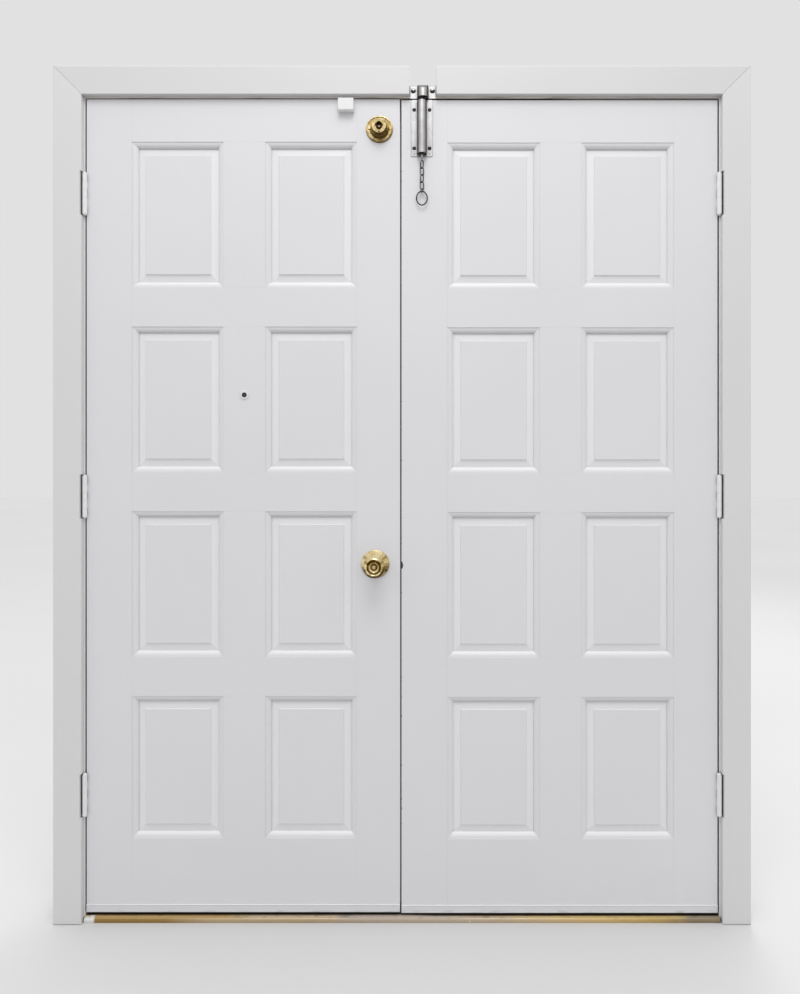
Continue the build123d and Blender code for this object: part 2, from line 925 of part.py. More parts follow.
# Casing: flat stock, mitred at the head, with eased front arrises
casing_inner = jamb_face + casing_reveal
casing_outer = casing_inner + casing_width
casing_low = head_face + casing_reveal
casing_top = casing_low + casing_width
keeper_half_opening = keeper_width / 2 + keeper_casing_clearance


def casing(*corners):
    """A length of casing with these corners as seen from the room."""
    with BuildPart() as board:
        with BuildSketch(Plane.XZ):
            with BuildLine():
                Polyline(*corners, close=True)
            make_face()
        extrude(amount=casing_thick)
        front = board.faces().sort_by(Axis.Y)[0]
        fillet(front.edges(), casing_arris_radius)
    return board.part


def barrel_notches(way):
    """Notches in a side casing's inner edge that clear the hinge barrels."""
    half = hinge_height / 2 + casing_notch_margin
    across = sorted((way * casing_inner, way * (casing_inner + casing_notch_depth)))
    return [cut_box(across, (-casing_thick, 0), (z - half, z + half)) for z in hinge_heights]


left_casing = casing(
    (-casing_outer, 0), (-casing_inner, 0), (-casing_inner, casing_low), (-casing_outer, casing_top)
)
right_casing = casing(
    (casing_inner, 0), (casing_outer, 0), (casing_outer, casing_top), (casing_inner, casing_low)
)
keep(minus(left_casing, barrel_notches(-1)), "casing_left")
keep(minus(right_casing, barrel_notches(1)), "casing_right")
keep(
    casing(
        (-casing_outer, casing_top),
        (-casing_inner, casing_low),
        (keeper_x - keeper_half_opening, casing_low),
        (keeper_x - keeper_half_opening, casing_top),
    ),
    "casing_head_left",
)
keep(
    casing(
        (keeper_x + keeper_half_opening, casing_top),
        (keeper_x + keeper_half_opening, casing_low),
        (casing_inner, casing_low),
        (casing_outer, casing_top),
    ),
    "casing_head_right",
)


# Threshold: a hollow metal saddle with a ramped nose, ribs and flutes
def threshold():
    back = jamb_depth + threshold_back
    nose_low = (-threshold_front, threshold_nose_height / 2)
    nose_high = (-threshold_front + threshold_nose_round, threshold_nose_height)
    with BuildPart() as saddle:
        with BuildSketch(Plane.YZ.offset(-jamb_face)):
            with BuildLine():
                Line((-threshold_front, 0), nose_low)
                ThreePointArc(nose_low, bulged(nose_low, nose_high, threshold_nose_bulge), nose_high)
                Polyline(
                    nose_high,
                    (threshold_ramp - threshold_front, threshold_height),
                    (threshold_flat_end, threshold_height),
                    (back, threshold_back_height),
                    (back, 0),
                    (-threshold_front, 0),
                )
            make_face()
        extrude(amount=2 * jamb_face)
        with BuildSketch(Plane.YZ.offset(-jamb_face)):
            with BuildLine():
                Polyline(
                    (threshold_wall - threshold_front, 0),
                    (threshold_wall - threshold_front, threshold_nose_height / 2),
                    (threshold_ramp - threshold_front, threshold_height - threshold_wall),
                    (threshold_flat_end, threshold_height - threshold_wall),
                    (back - threshold_wall, threshold_back_height - threshold_wall),
                    (back - threshold_wall, 0),
                    close=True,
                )
            make_face()
        extrude(amount=2 * jamb_face, mode=Mode.SUBTRACT)
        with BuildSketch(Plane.YZ.offset(-jamb_face)):
            for y in (0, threshold_flat_end / 2, threshold_flat_end):
                with Locations((y, (threshold_height - threshold_wall / 2) / 2)):
                    Rectangle(threshold_rib, threshold_height - threshold_wall / 2)
        extrude(amount=2 * jamb_face)
        with BuildSketch(Plane.YZ.offset(-jamb_face)):
            for flute in range(flute_count):
                y = threshold_flat_end - flute_inset - flute * flute_spacing
                with Locations((y, threshold_height)):
                    Rectangle(flute_width, 2 * flute_depth)
        extrude(amount=2 * jamb_face, mode=Mode.SUBTRACT)
    notches = []
    for way in (-1, 1):
        ends = sorted((way * jamb_face, way * (jamb_face - stop_proud)))
        notches.append(cut_box(ends, (stop_face, jamb_depth), (0, threshold_height)))
    return minus(saddle.part, notches)


keep(threshold(), "threshold")


# Butt hinges
def knuckle_span(index):
    """Bottom and top of one knuckle, from the hinge's middle."""
    pitch = hinge_height / knuckle_count
    low = -hinge_height / 2 + index * pitch
    return low + knuckle_play / 2, low + pitch - knuckle_play / 2


def hinge_half(way, gap, indices):
    """A hinge plate with its knuckles round a pin at the origin, on the side that way points to."""
    near = gap / 2
    centre_x = way * (near + hinge_plate_thick / 2)
    relief = knuckle_radius + knuckle_relief
    far = hinge_pin_stand + hinge_plate_reach
    with BuildPart() as half:
        with BuildSketch(Plane.XY.offset(-hinge_height / 2)):
            with Locations((centre_x, (relief + far) / 2)):
                Rectangle(hinge_plate_thick, far - relief)
        extrude(amount=hinge_height)
        for index in indices:
            low, high = knuckle_span(index)
            with BuildSketch(Plane.XY.offset(low)):
                Circle(knuckle_radius)
                with Locations((centre_x, relief / 2)):
                    Rectangle(hinge_plate_thick, relief)
                Circle(hinge_pin_radius + hinge_pin_clearance, mode=Mode.SUBTRACT)
            extrude(amount=high - low)
    return half.part


def hinge_pin():
    """A loose pin with a button at each end, standing at the origin."""
    half = hinge_height / 2
    with BuildPart() as pin:
        with BuildSketch(Plane.XY.offset(-half)):
            Circle(hinge_pin_radius)
        extrude(amount=hinge_height)
        for way in (-1, 1):
            with BuildSketch(Plane.XY.offset(way * half)):
                Circle(hinge_tip_radius)
            extrude(amount=way * hinge_tip_height)
        rims = pin.edges().filter_by(GeomType.CIRCLE).sort_by(Axis.Z)
        fillet([rims[0], rims[-1]], hinge_tip_round)
    return pin.part


frame_knuckles = range(0, knuckle_count, 2)
leaf_knuckles = range(1, knuckle_count, 2)
left_hinge_places = [(left_pin_x, -hinge_pin_stand, z) for z in hinge_heights]
right_hinge_places = [(right_pin_x, -hinge_pin_stand, z) for z in hinge_heights]
frame_plates = together(
    [
        copies(hinge_half(-1, left_hinge_gap, frame_knuckles), left_hinge_places),
        copies(hinge_half(1, right_hinge_gap, frame_knuckles), right_hinge_places),
    ]
)
keep(frame_plates, "hinge_frame_plates")
keep(copies(hinge_half(1, left_hinge_gap, leaf_knuckles), left_hinge_places), "left_hinge_plates")
keep(copies(hinge_half(-1, right_hinge_gap, leaf_knuckles), right_hinge_places), "right_hinge_plates")
keep(copies(hinge_pin(), left_hinge_places + right_hinge_places), "hinge_pins")


# Lock parts turned about an axis through the leaf
def turning_plane(x, z):
    """Plane through a lock's axis: radius along x, distance through the leaf along y."""
    return Plane(origin=(x, 0, z), x_dir=(1, 0, 0), z_dir=(0, 0, 1))


def outward(stand, room):
    """The y position at this distance out of the room face, or out of the outer face."""
    return -stand if room else leaf_thick + stand


def turned(x, z, room, outline):
    """A piece turned about a lock's axis.

    The outline runs through (radius, stand) places. A third number in a place is the bulge of the arc
    that leads there.
    """
    with BuildPart() as body:
        with BuildSketch(turning_plane(x, z)):
            with BuildLine():
                before = outline[-1]
                for place in outline:
                    first = (before[0], outward(before[1], room))
                    last = (place[0], outward(place[1], room))
                    if len(place) == 2:
                        Line(first, last)
                    else:
                        radius, stand = bulged(before[:2], place[:2], place[2])
                        ThreePointArc(first, (radius, outward(stand, room)), last)
                    before = place
            make_face()
        revolve(axis=Axis((x, 0, z), (0, 1, 0)))
    return body.part


def knob(room):
    """A dished knob on its neck. The inside one takes the spindle, and the outside one carries it."""
    boss_top = button_radius + knob_boss_margin
    outline = [
        (0, -knob_neck_sink),
        (knob_neck_radius, -knob_neck_sink),
        (knob_neck_radius, knob_neck_stand),
        (knob_flare_radius, knob_flare_stand, knob_flare_bulge),
        (knob_radius, knob_widest_stand, -knob_back_bulge),
        (knob_rim_radius, knob_stand, -knob_side_bulge),
        (knob_dish_radius, knob_stand - knob_lip_fall, -knob_lip_bulge),
        (knob_boss_radius, knob_dish_stand, knob_dish_bulge),
        (boss_top, knob_face_stand),
        (0, knob_face_stand),
    ]
    return turned(knob_x, knob_height, room, outline)


def knob_rose(room):
    """The domed plate behind a knob, round its neck."""
    hole = knob_neck_radius + knob_neck_clearance
    collar_top = rose_crown + rose_collar_rise
    outline = [
        (hole, 0),
        (rose_radius, 0),
        (rose_radius, rose_edge),
        (rose_radius - rose_edge_width, rose_shoulder, -rose_edge_bulge),
        (rose_collar_radius, rose_crown, -rose_dome_bulge),
        (rose_collar_radius - rose_collar_taper, collar_top),
        (hole, collar_top),
    ]
    return turned(knob_x, knob_height, room, outline)


button_bore = button_radius + button_clearance
button_back = knob_face_stand - (button_length - button_proud)
inside_knob = minus(
    knob(True),
    [
        round_bar(
            (knob_x, outward(button_back - button_room, True), knob_height),
            (0, -1, 0),
            button_bore,
            knob_stand,
        ),
        round_bar(
            (knob_x, outward(-knob_neck_sink, True), knob_height),
            (0, -1, 0),
            spindle_radius + spindle_clearance,
            knob_neck_sink + spindle_hole_stand,
        ),
    ],
)
spindle = round_bar(
    (knob_x, outward(-knob_neck_sink, False), knob_height),
    (0, -1, 0),
    spindle_radius,
    leaf_thick - knob_neck_sink + spindle_stand,
)
outside_keyway = cut_box(
    (knob_x - keyway_width / 2, knob_x + keyway_width / 2),
    (outward(knob_face_stand - keyway_depth, False), outward(knob_face_stand, False)),
    (knob_height - keyway_height / 2, knob_height + keyway_height / 2),
)
outside_knob = minus(together([knob(False), spindle]), [outside_keyway])


def knob_button():
    """The button in the middle of the inside knob's dish, domed at its face."""
    plane = Plane(origin=(knob_x, outward(button_back, True), knob_height), z_dir=(0, -1, 0))
    with BuildPart() as body:
        with BuildSketch(plane):
            Circle(button_radius)
        extrude(amount=button_length)
        fillet(body.faces().sort_by(Axis.Y)[0].edges(), button_round)
    return body.part


keep(inside_knob, "inside_knob")
keep(outside_knob, "outside_knob")
keep(knob_button(), "knob_button")
keep(together([knob_rose(True), knob_rose(False)]), "knob_roses")


def lock_collar(room):
    """The stepped housing round a lock's key plug, with its sunk body in the cross bore."""
    outline = [
        (0, -collar_sink),
        (collar_sink_radius, -collar_sink),
        (collar_sink_radius, 0),
        (collar_radius, 0),
        (collar_radius, collar_edge),
        (collar_radius - collar_lip_width, collar_lip, -collar_lip_bulge),
        (collar_groove_radius, collar_seat),
        (collar_waist_radius, collar_seat),
        (collar_waist_radius, collar_seat + collar_waist_foot),
        (collar_waist_radius - collar_waist_taper, collar_waist_top, collar_waist_bulge),
        (collar_ledge_radius, collar_waist_top + collar_ledge_rise),
        (collar_side_radius, collar_stand - collar_face_fall),
        (collar_face_radius, collar_stand),
        (0, collar_stand),
    ]
    with BuildPart() as body:
        add(turned(deadbolt_x, deadbolt_z, room, outline))
        with BuildSketch(
            Plane(origin=(deadbolt_x, outward(collar_stand, room), deadbolt_z), z_dir=(0, -1, 0))
        ):
            Ellipse(key_oval_width / 2, key_oval_height / 2)
        extrude(amount=-key_oval_depth if room else key_oval_depth, mode=Mode.SUBTRACT)
    way = 1 if room else -1
    bore = round_bar(
        (deadbolt_x, outward(collar_stand, room), deadbolt_z),
        (0, way, 0),
        plug_radius + plug_clearance,
        collar_stand + collar_sink,
    )
    if not room:
        return minus(body.part, [bore])
    hole = round_bar(
        (deadbolt_x, outward(collar_stand, room), deadbolt_z - collar_hole_offset),
        (0, 1, 0),
        collar_hole_radius,
        collar_hole_depth,
    )
    return minus(body.part, [bore, hole] + screw_holes(collar_screws))


def key_plug(room):
    """A key plug with its keyway, and the flat tailpiece that turns the bolt's hub."""
    way = 1 if room else -1
    face = collar_stand - key_oval_depth - plug_sink
    body = round_bar(
        (deadbolt_x, outward(face, room), deadbolt_z), (0, way, 0), plug_radius, face + collar_sink
    )
    tail = sorted((outward(overlap - collar_sink, room), mid_thick - way * tailpiece_gap))
    tailpiece = cut_box(
        (deadbolt_x - tailpiece_thick / 2, deadbolt_x + tailpiece_thick / 2),
        tail,
        (deadbolt_z - tailpiece_width / 2, deadbolt_z + tailpiece_width / 2),
    )
    mouth = sorted((outward(face, room), outward(face - keyway_depth, room)))
    keyway = cut_box(
        (deadbolt_x - keyway_width / 2, deadbolt_x + keyway_width / 2),
        mouth,
        (deadbolt_z - keyway_height / 2, deadbolt_z + keyway_height / 2),
    )
    return minus(together([body, tailpiece]), [keyway])


keep(together([lock_collar(True), lock_collar(False)]), "deadbolt_collars")
keep(key_plug(True), "inside_key_plug")
keep(key_plug(False), "outside_key_plug")


# Bolt cases: faceplate, round body in the edge bore and a flat tail with the hub hole
def bolt_case(z, backset, bolt_width, bolt_height, slot_length):
    centre_x = left_meeting_edge - backset
    body_start = centre_x + cross_bore_radius
    plate_back = left_meeting_edge - meeting_bevel / 2 - faceplate_thick
    tail_low_y = mid_thick + bolt_width / 2 + bolt_play
    with BuildPart() as case:
        with BuildSketch(meeting_plane(z, True)):
            RectangleRounded(
                faceplate_height - 2 * case_play, faceplate_width - 2 * case_play, faceplate_corner
            )
        extrude(amount=-faceplate_thick)
        with BuildSketch(Plane.YZ.offset(body_start)):
            with Locations((mid_thick, z)):
                Circle(edge_bore_radius - case_play)
        extrude(amount=plate_back - body_start + faceplate_thick / 2)
        with BuildSketch(Plane.YZ.offset(centre_x - case_tail_overrun)):
            with Locations((tail_low_y + case_tail_thick / 2, z)):
                Rectangle(case_tail_thick, case_tail_height)
        extrude(amount=body_start + overlap - centre_x + case_tail_overrun)
    half_y = bolt_width / 2 + bolt_play
    half_z = bolt_height / 2 + bolt_play
    slot = cut_box(
        (body_start, left_meeting_edge),
        (mid_thick - half_y, mid_thick + half_y),
        (z - half_z, z + half_z),
    )
    hub = round_bar((centre_x, mid_thick, z), (0, 1, 0), hub_radius, mid_thick)
    hole_radius = screw_shank_radius + screw_hole_clearance
    hole_depth = meeting_bevel + 2 * faceplate_thick
    holes = [
        round_bar((left_meeting_edge - hole_depth, mid_thick, z + offset), (1, 0, 0), hole_radius, hole_depth)
        for offset in (-faceplate_screw_offset, faceplate_screw_offset)
    ]
    return minus(case.part, [slot, hub] + holes)


def bolt_bar(z, backset, width, height, length, nose):
    """A bolt drawn back into its case, with its tail bar reaching towards the hub.

    nose is the bevel's length on the outer side of the tip, 0 for a square one.
    """
    tip = left_meeting_edge - meeting_bevel
    tail_end = left_meeting_edge - backset + spindle_radius + bolt_tail_gap
    low = mid_thick - width / 2
    high = mid_thick + width / 2
    with BuildPart() as bar:
        with BuildSketch(Plane.XY.offset(z - height / 2)):
            with BuildLine():
                Polyline((tip - length, low), (tip, low), (tip, high - nose * bolt_nose_slope))
                Polyline((tip, high - nose * bolt_nose_slope), (tip - nose, high), (tip - length, high))
                Line((tip - length, high), (tip - length, low))
            make_face()
        extrude(amount=height)
        with BuildSketch(Plane.YZ.offset(tail_end)):
            with Locations((mid_thick, z)):
                Rectangle(bolt_tail_width, bolt_tail_height)
        extrude(amount=tip - length + overlap - tail_end)
    return bar.part


keep(
    bolt_case(knob_height, latch_backset, latch_bolt_width, latch_bolt_height, latch_bolt_length),
    "latch_case",
)
keep(
    bolt_bar(
        knob_height, latch_backset, latch_bolt_width, latch_bolt_height, latch_bolt_length, latch_nose
    ),
    "latch_bolt",
)
keep(
    bolt_case(deadbolt_z, deadbolt_backset, deadbolt_width, deadbolt_height, deadbolt_length),
    "deadbolt_case",
)
keep(
    bolt_bar(
        deadbolt_z, deadbolt_backset, deadbolt_width, deadbolt_height, deadbolt_length, deadbolt_nose
    ),
    "deadbolt_bolt",
)


# Strike plates in the right leaf's meeting edge
def strike_plate(z, bolt_width, bolt_height):
    with BuildPart() as plate:
        with BuildSketch(meeting_plane(z, False)):
            RectangleRounded(strike_height - 2 * case_play, strike_width - 2 * case_play, strike_corner)
            Rectangle(
                bolt_height + 2 * strike_margin, bolt_width + 2 * strike_margin, mode=Mode.SUBTRACT
            )
            with Locations((faceplate_screw_offset, 0), (-faceplate_screw_offset, 0)):
                Circle(screw_shank_radius + screw_hole_clearance, mode=Mode.SUBTRACT)
        extrude(amount=-strike_thick)
    return plate.part


keep(
    together(
        [
            strike_plate(knob_height, latch_bolt_width, latch_bolt_height),
            strike_plate(deadbolt_z, deadbolt_width, deadbolt_height),
        ]
    ),
    "strike_plates",
)

keep(
    together([dome_screw(place, collar_screw_radius, collar_screw_dome) for place in collar_screws]),
    "deadbolt_screws",
)


# Door viewer: a tube from the outer face, an eyepiece from the room face and a lens at each end
viewer_x = left["mullion_middle"]
viewer_bore_radius = viewer_barrel_radius - viewer_barrel_wall
eyepiece_tube_radius = viewer_bore_radius - viewer_clearance


def viewer_ring(room, tube_outer, tube_inner, tube_length):
    """A flange against one face with its tube running into the bore."""
    outline = [
        (tube_inner, -tube_length),
        (tube_outer, -tube_length),
        (tube_outer, 0),
        (viewer_flange_radius, 0),
        (viewer_flange_radius, viewer_flange_thick - viewer_flange_round),
        (viewer_flange_radius - viewer_flange_round, viewer_flange_thick, -viewer_flange_bulge),
        (viewer_opening, viewer_flange_thick),
        (viewer_opening, viewer_lens_sink),
        (tube_inner, viewer_lens_sink),
    ]
    return turned(viewer_x, viewer_height, room, outline)


def viewer_lens(room):
    """The lens that fills a flange's opening, gently domed."""
    radius = viewer_opening - lens_clearance
    edge = viewer_flange_thick - lens_rise
    back = viewer_lens_sink + lens_clearance
    middle = cap_middle(radius, lens_rise)
    with BuildPart() as lens:
        with BuildSketch(turning_plane(viewer_x, viewer_height)):
            with BuildLine():
                Line((0, outward(back, room)), (radius, outward(back, room)))
                Line((radius, outward(back, room)), (radius, outward(edge, room)))
                ThreePointArc(
                    (radius, outward(edge, room)),
                    (middle[0], outward(edge + middle[1], room)),
                    (0, outward(viewer_flange_thick, room)),
                )
                Line((0, outward(viewer_flange_thick, room)), (0, outward(back, room)))
            make_face()
        revolve(axis=Axis((viewer_x, 0, viewer_height), (0, 1, 0)))
    return lens.part


keep(
    viewer_ring(False, viewer_barrel_radius, viewer_bore_radius, viewer_barrel_length),
    "viewer_barrel",
)
keep(
    viewer_ring(
        True,
        eyepiece_tube_radius,
        eyepiece_tube_radius - viewer_eyepiece_wall,
        viewer_eyepiece_length,
    ),
    "viewer_eyepiece",
)
keep(together([viewer_lens(True), viewer_lens(False)]), "viewer_lenses")


# Contact sensor: a backing plate and a cover, with the seam between them
sensor_x = left_meeting_edge - sensor_from_edge - sensor_width / 2
sensor_z = left_top - sensor_below_top - sensor_height / 2
with BuildPart() as contact_sensor:
    with BuildSketch(Plane.XZ):
        with Locations((sensor_x, sensor_z)):
            RectangleRounded(sensor_width, sensor_height, sensor_corner)
    extrude(amount=sensor_thick)
    fillet(contact_sensor.faces().sort_by(Axis.Y)[0].edges(), sensor_arris)
    with BuildSketch(Plane.XZ.offset(sensor_seam_height)):
        with Locations((sensor_x, sensor_z)):
            RectangleRounded(sensor_width, sensor_height, sensor_corner)
            RectangleRounded(
                sensor_width - 2 * sensor_seam_width,
                sensor_height - 2 * sensor_seam_width,
                sensor_corner - sensor_seam_width,
                mode=Mode.SUBTRACT,
            )
    extrude(amount=sensor_seam_width, mode=Mode.SUBTRACT)
keep(contact_sensor.part, "contact_sensor")

# Pull-chain bolt: plate with its half-round housing
rod_y = -housing_axis_stand
housing_top = bolt_plate_top - housing_below_top
housing_bottom = bolt_plate_bottom + housing_above_bottom
seat_bottom = housing_bottom + housing_seat_height
seat_top = seat_bottom + housing_seat_thick
rod_top = bolt_plate_top - rod_below_top
rod_head_bottom = rod_top - rod_head_length


def arch_section(centre_x, radius, axis_y, back, mode=Mode.ADD):
    """Half-round section towards the room from axis_y, with straight sides back to the plate."""
    with BuildSketch(mode=Mode.PRIVATE) as arch:
        with Locations((centre_x, axis_y)):
            Circle(radius)
        with Locations((centre_x, (axis_y + back) / 2)):
            Rectangle(2 * radius, back - axis_y)
        with Locations((centre_x, back + radius)):
            Rectangle(2 * radius, 2 * radius, mode=Mode.SUBTRACT)
    add(arch.sketch, mode=mode)


def web(z, thick, hole):
    """A wall across the housing with a round hole for the rod."""
    with BuildPart() as wall:
        with BuildSketch(Plane.XY.offset(z)):
            arch_section(bolt_x, housing_half_width - housing_wall / 2, rod_y, -bolt_plate_thick / 2)
            with Locations((bolt_x, rod_y)):
                Circle(hole, mode=Mode.SUBTRACT)
        extrude(amount=thick)
    return wall.part


bolt_plate_middle = (bolt_plate_top + bolt_plate_bottom) / 2
with BuildPart() as bolt_shell:
    with BuildSketch(Plane.XZ):
        with Locations((bolt_x, bolt_plate_middle)):
            RectangleRounded(bolt_plate_width, bolt_plate_height, bolt_plate_corner)
        with Locations(*[(x, z) for x, y, z in bolt_screws]):
            Circle(screw_shank_radius + screw_hole_clearance, mode=Mode.SUBTRACT)
        nail_z = bolt_plate_bottom + nail_hole_inset
        with Locations(
            (bolt_x - plate_screw_across / 2, nail_z), (bolt_x + plate_screw_across / 2, nail_z)
        ):
            Circle(nail_hole_radius, mode=Mode.SUBTRACT)
    extrude(amount=bolt_plate_thick)
    with BuildSketch(Plane.XY.offset(housing_bottom)):
        arch_section(bolt_x, housing_half_width, rod_y, -bolt_plate_thick)
        arch_section(
            bolt_x, housing_half_width - housing_wall, rod_y, -bolt_plate_thick, Mode.SUBTRACT
        )
    extrude(amount=housing_top - housing_bottom)
    add(web(seat_bottom, housing_seat_thick, rod_stem_radius + rod_stem_clearance))
    add(web(housing_top - housing_guide_thick, housing_guide_thick, rod_radius + rod_clearance))
keep(bolt_shell.part, "chain_bolt_body")
keep(
    together([dome_screw(place, plate_screw_radius, plate_screw_dome) for place in bolt_screws]),
    "chain_bolt_screws",
)

# The rod: head, stem and flat eye
eye_z = bolt_plate_bottom - eye_below_plate
stem_bottom = eye_z + eye_radius - overlap
with BuildPart() as chain_bolt_rod:
    with BuildSketch(Plane.XY.offset(rod_head_bottom)):
        with Locations((bolt_x, rod_y)):
            Circle(rod_radius)
    extrude(amount=rod_head_length)
    fillet(chain_bolt_rod.faces().sort_by(Axis.Z)[-1].edges(), rod_tip_radius)
    with BuildSketch(Plane.XY.offset(stem_bottom)):
        with Locations((bolt_x, rod_y)):
            Circle(rod_stem_radius)
    extrude(amount=rod_head_bottom + overlap - stem_bottom)
    with BuildSketch(Plane.XZ.offset(-rod_y - eye_thick / 2)):
        with Locations((bolt_x, eye_z)):
            Circle(eye_radius)
            Circle(eye_hole_radius, mode=Mode.SUBTRACT)
    extrude(amount=eye_thick)
keep(chain_bolt_rod.part, "chain_bolt_rod")

# The spring round the stem, from the seat to the underside of the rod's head
spring_low = seat_top + spring_clearance + spring_wire_radius
spring_high = rod_head_bottom - spring_clearance - spring_wire_radius
with BuildPart() as chain_bolt_spring:
    with BuildLine() as coil:
        Helix(
            pitch=(spring_high - spring_low) / spring_coils,
            height=spring_high - spring_low,
            radius=spring_radius,
            center=(bolt_x, rod_y, spring_low),
        )
    with BuildSketch(Plane(origin=coil.line @ 0, z_dir=coil.line % 0)):
        RegularPolygon(spring_wire_radius, 6)
    sweep(is_frenet=True)
keep(chain_bolt_spring.part, "chain_bolt_spring")

# Keeper on the head jamb's edge: plate, and half-round socket closed by a sloping top
keeper_middle = keeper_bottom + keeper_height / 2
keeper_axis_y = keeper_half_width - keeper_stand


def keeper_socket(drop):
    """The solid within the socket's skin, drop being how deep under the outer surface."""
    top = keeper_bottom + keeper_socket_height - drop
    slope = keeper_slope_fall / keeper_slope_run
    front = -keeper_stand - overlap
    with BuildPart() as body:
        with BuildSketch(Plane.XY.offset(keeper_bottom)):
            arch_section(keeper_x, keeper_half_width - drop, keeper_axis_y, -keeper_plate_thick)
        extrude(amount=top - keeper_bottom)
        with BuildSketch(Plane.YZ.offset(keeper_x - keeper_half_width)):
            with BuildLine():
                Polyline(
                    (front, top - keeper_slope_fall - slope * overlap),
                    (keeper_slope_run - keeper_stand, top),
                    (keeper_slope_run - keeper_stand, top + overlap),
                    (front, top + overlap),
                    close=True,
                )
            make_face()
        extrude(amount=2 * keeper_half_width, mode=Mode.SUBTRACT)
    return body.part


with BuildPart() as bolt_keeper:
    with BuildSketch(Plane.XZ):
        with Locations((keeper_x, keeper_middle)):
            RectangleRounded(keeper_width, keeper_height, keeper_corner)
        with Locations(*[(x, z) for x, y, z in keeper_screws]):
            Circle(screw_shank_radius + screw_hole_clearance, mode=Mode.SUBTRACT)
    extrude(amount=keeper_plate_thick)
    add(keeper_socket(0))
keep(minus(bolt_keeper.part, [keeper_socket(keeper_wall)]), "bolt_keeper")
keep(
    together([dome_screw(place, keeper_screw_radius, keeper_screw_dome) for place in keeper_screws]),
    "keeper_screws",
)


# Chain: round wire bent to a closed shape from two end arcs and two straight sides
def wire_arc(start, centre, wire, arc, spin):
    """Round wire bent in the XZ plane, from start through arc degrees about centre."""
    radial_x = start[0] - centre[0]
    radial_z = start[1] - centre[1]
    plane = Plane(origin=(start[0], 0, start[1]), x_dir=(0, 1, 0), z_dir=(-radial_z, 0, radial_x))
    with BuildPart() as bend:
        with BuildSketch(plane):
            Circle(wire)
        revolve(axis=Axis((centre[0], 0, centre[1]), (0, spin, 0)), revolution_arc=arc)
    return bend.part


def wire_link(wire, inner_length, inner_width):
    """A link hanging at the origin in the XZ plane: the centre of its top wire is the origin."""
    bend = inner_width / 2 + wire
    straight = inner_length - inner_width
    low = -bend - straight
    if straight == 0:
        return wire_arc((bend, -bend), (0, -bend), wire, 360, 1)
    return together(
        [
            wire_arc((bend, -bend), (0, -bend), wire, 180, -1),
            wire_arc((bend, low), (0, low), wire, 180, 1),
            round_bar((bend, 0, low), (0, 0, 1), wire, straight),
            round_bar((-bend, 0, low), (0, 0, 1), wire, straight),
        ]
    )


def pull_ring():
    """The oval ring, hanging at the origin in the XZ plane from the centre of its top wire."""
    wire = ring_wire_radius
    long_half = ring_half_height - wire
    short_half = ring_half_width - wire
    end_radius = ring_end_radius - wire
    offset = long_half - end_radius
    side_radius = (offset**2 + short_half**2 - end_radius**2) / (2 * (short_half - end_radius))
    side_centre = side_radius - short_half
    turn = degrees(atan(offset / side_centre))
    pieces = []
    for spin in (-1, 1):
        pieces += [
            wire_arc((0, 0), (0, offset - long_half), wire, 90 - turn, spin),
            wire_arc((0, -2 * long_half), (0, -long_half - offset), wire, 90 - turn, spin),
            wire_arc((short_half, -long_half), (-side_centre, -long_half), wire, turn, spin),
            wire_arc((-short_half, -long_half), (side_centre, -long_half), wire, turn, spin),
        ]
    return together(pieces)


link_turns = [link_turn - 90 if index % 2 == 0 else link_turn for index in range(link_count)]
wire_z = eye_z - eye_hole_radius + link_wire_radius + eye_play
for index, turn in enumerate(link_turns):
    link = wire_link(link_wire_radius, link_inner_length, link_inner_width)
    keep(Pos(bolt_x, rod_y, wire_z) * Rot(0, 0, turn) * link, f"chain_link_{index + 1}")
    wire_z += link_play - link_inner_length
coupling_z = wire_z + coupling_wire_radius - link_wire_radius
coupling = wire_link(coupling_wire_radius, 2 * coupling_inner_radius, 2 * coupling_inner_radius)
keep(Pos(bolt_x, rod_y, coupling_z) * Rot(0, 0, link_turn - 90) * coupling, "chain_small_link")
ring_z = coupling_z - coupling_wire_radius - 2 * coupling_inner_radius + ring_wire_radius + ring_play
keep(Pos(bolt_x, rod_y, ring_z) * pull_ring(), "chain_ring")
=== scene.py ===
import math

import bmesh
import bpy
from mathutils import Matrix, Vector

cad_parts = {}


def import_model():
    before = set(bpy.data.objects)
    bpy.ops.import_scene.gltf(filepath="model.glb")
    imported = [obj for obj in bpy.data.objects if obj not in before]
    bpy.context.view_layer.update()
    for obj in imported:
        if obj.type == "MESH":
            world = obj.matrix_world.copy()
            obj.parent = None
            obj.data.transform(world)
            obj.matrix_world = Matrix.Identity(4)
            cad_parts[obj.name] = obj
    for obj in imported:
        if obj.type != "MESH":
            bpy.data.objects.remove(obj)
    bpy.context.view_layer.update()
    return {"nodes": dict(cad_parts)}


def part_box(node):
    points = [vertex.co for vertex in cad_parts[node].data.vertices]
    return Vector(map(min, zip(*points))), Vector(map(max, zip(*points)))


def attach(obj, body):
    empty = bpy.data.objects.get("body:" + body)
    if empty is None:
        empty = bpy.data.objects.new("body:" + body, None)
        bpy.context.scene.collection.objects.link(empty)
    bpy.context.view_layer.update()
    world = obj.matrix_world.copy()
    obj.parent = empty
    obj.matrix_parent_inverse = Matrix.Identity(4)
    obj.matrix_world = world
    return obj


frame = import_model()


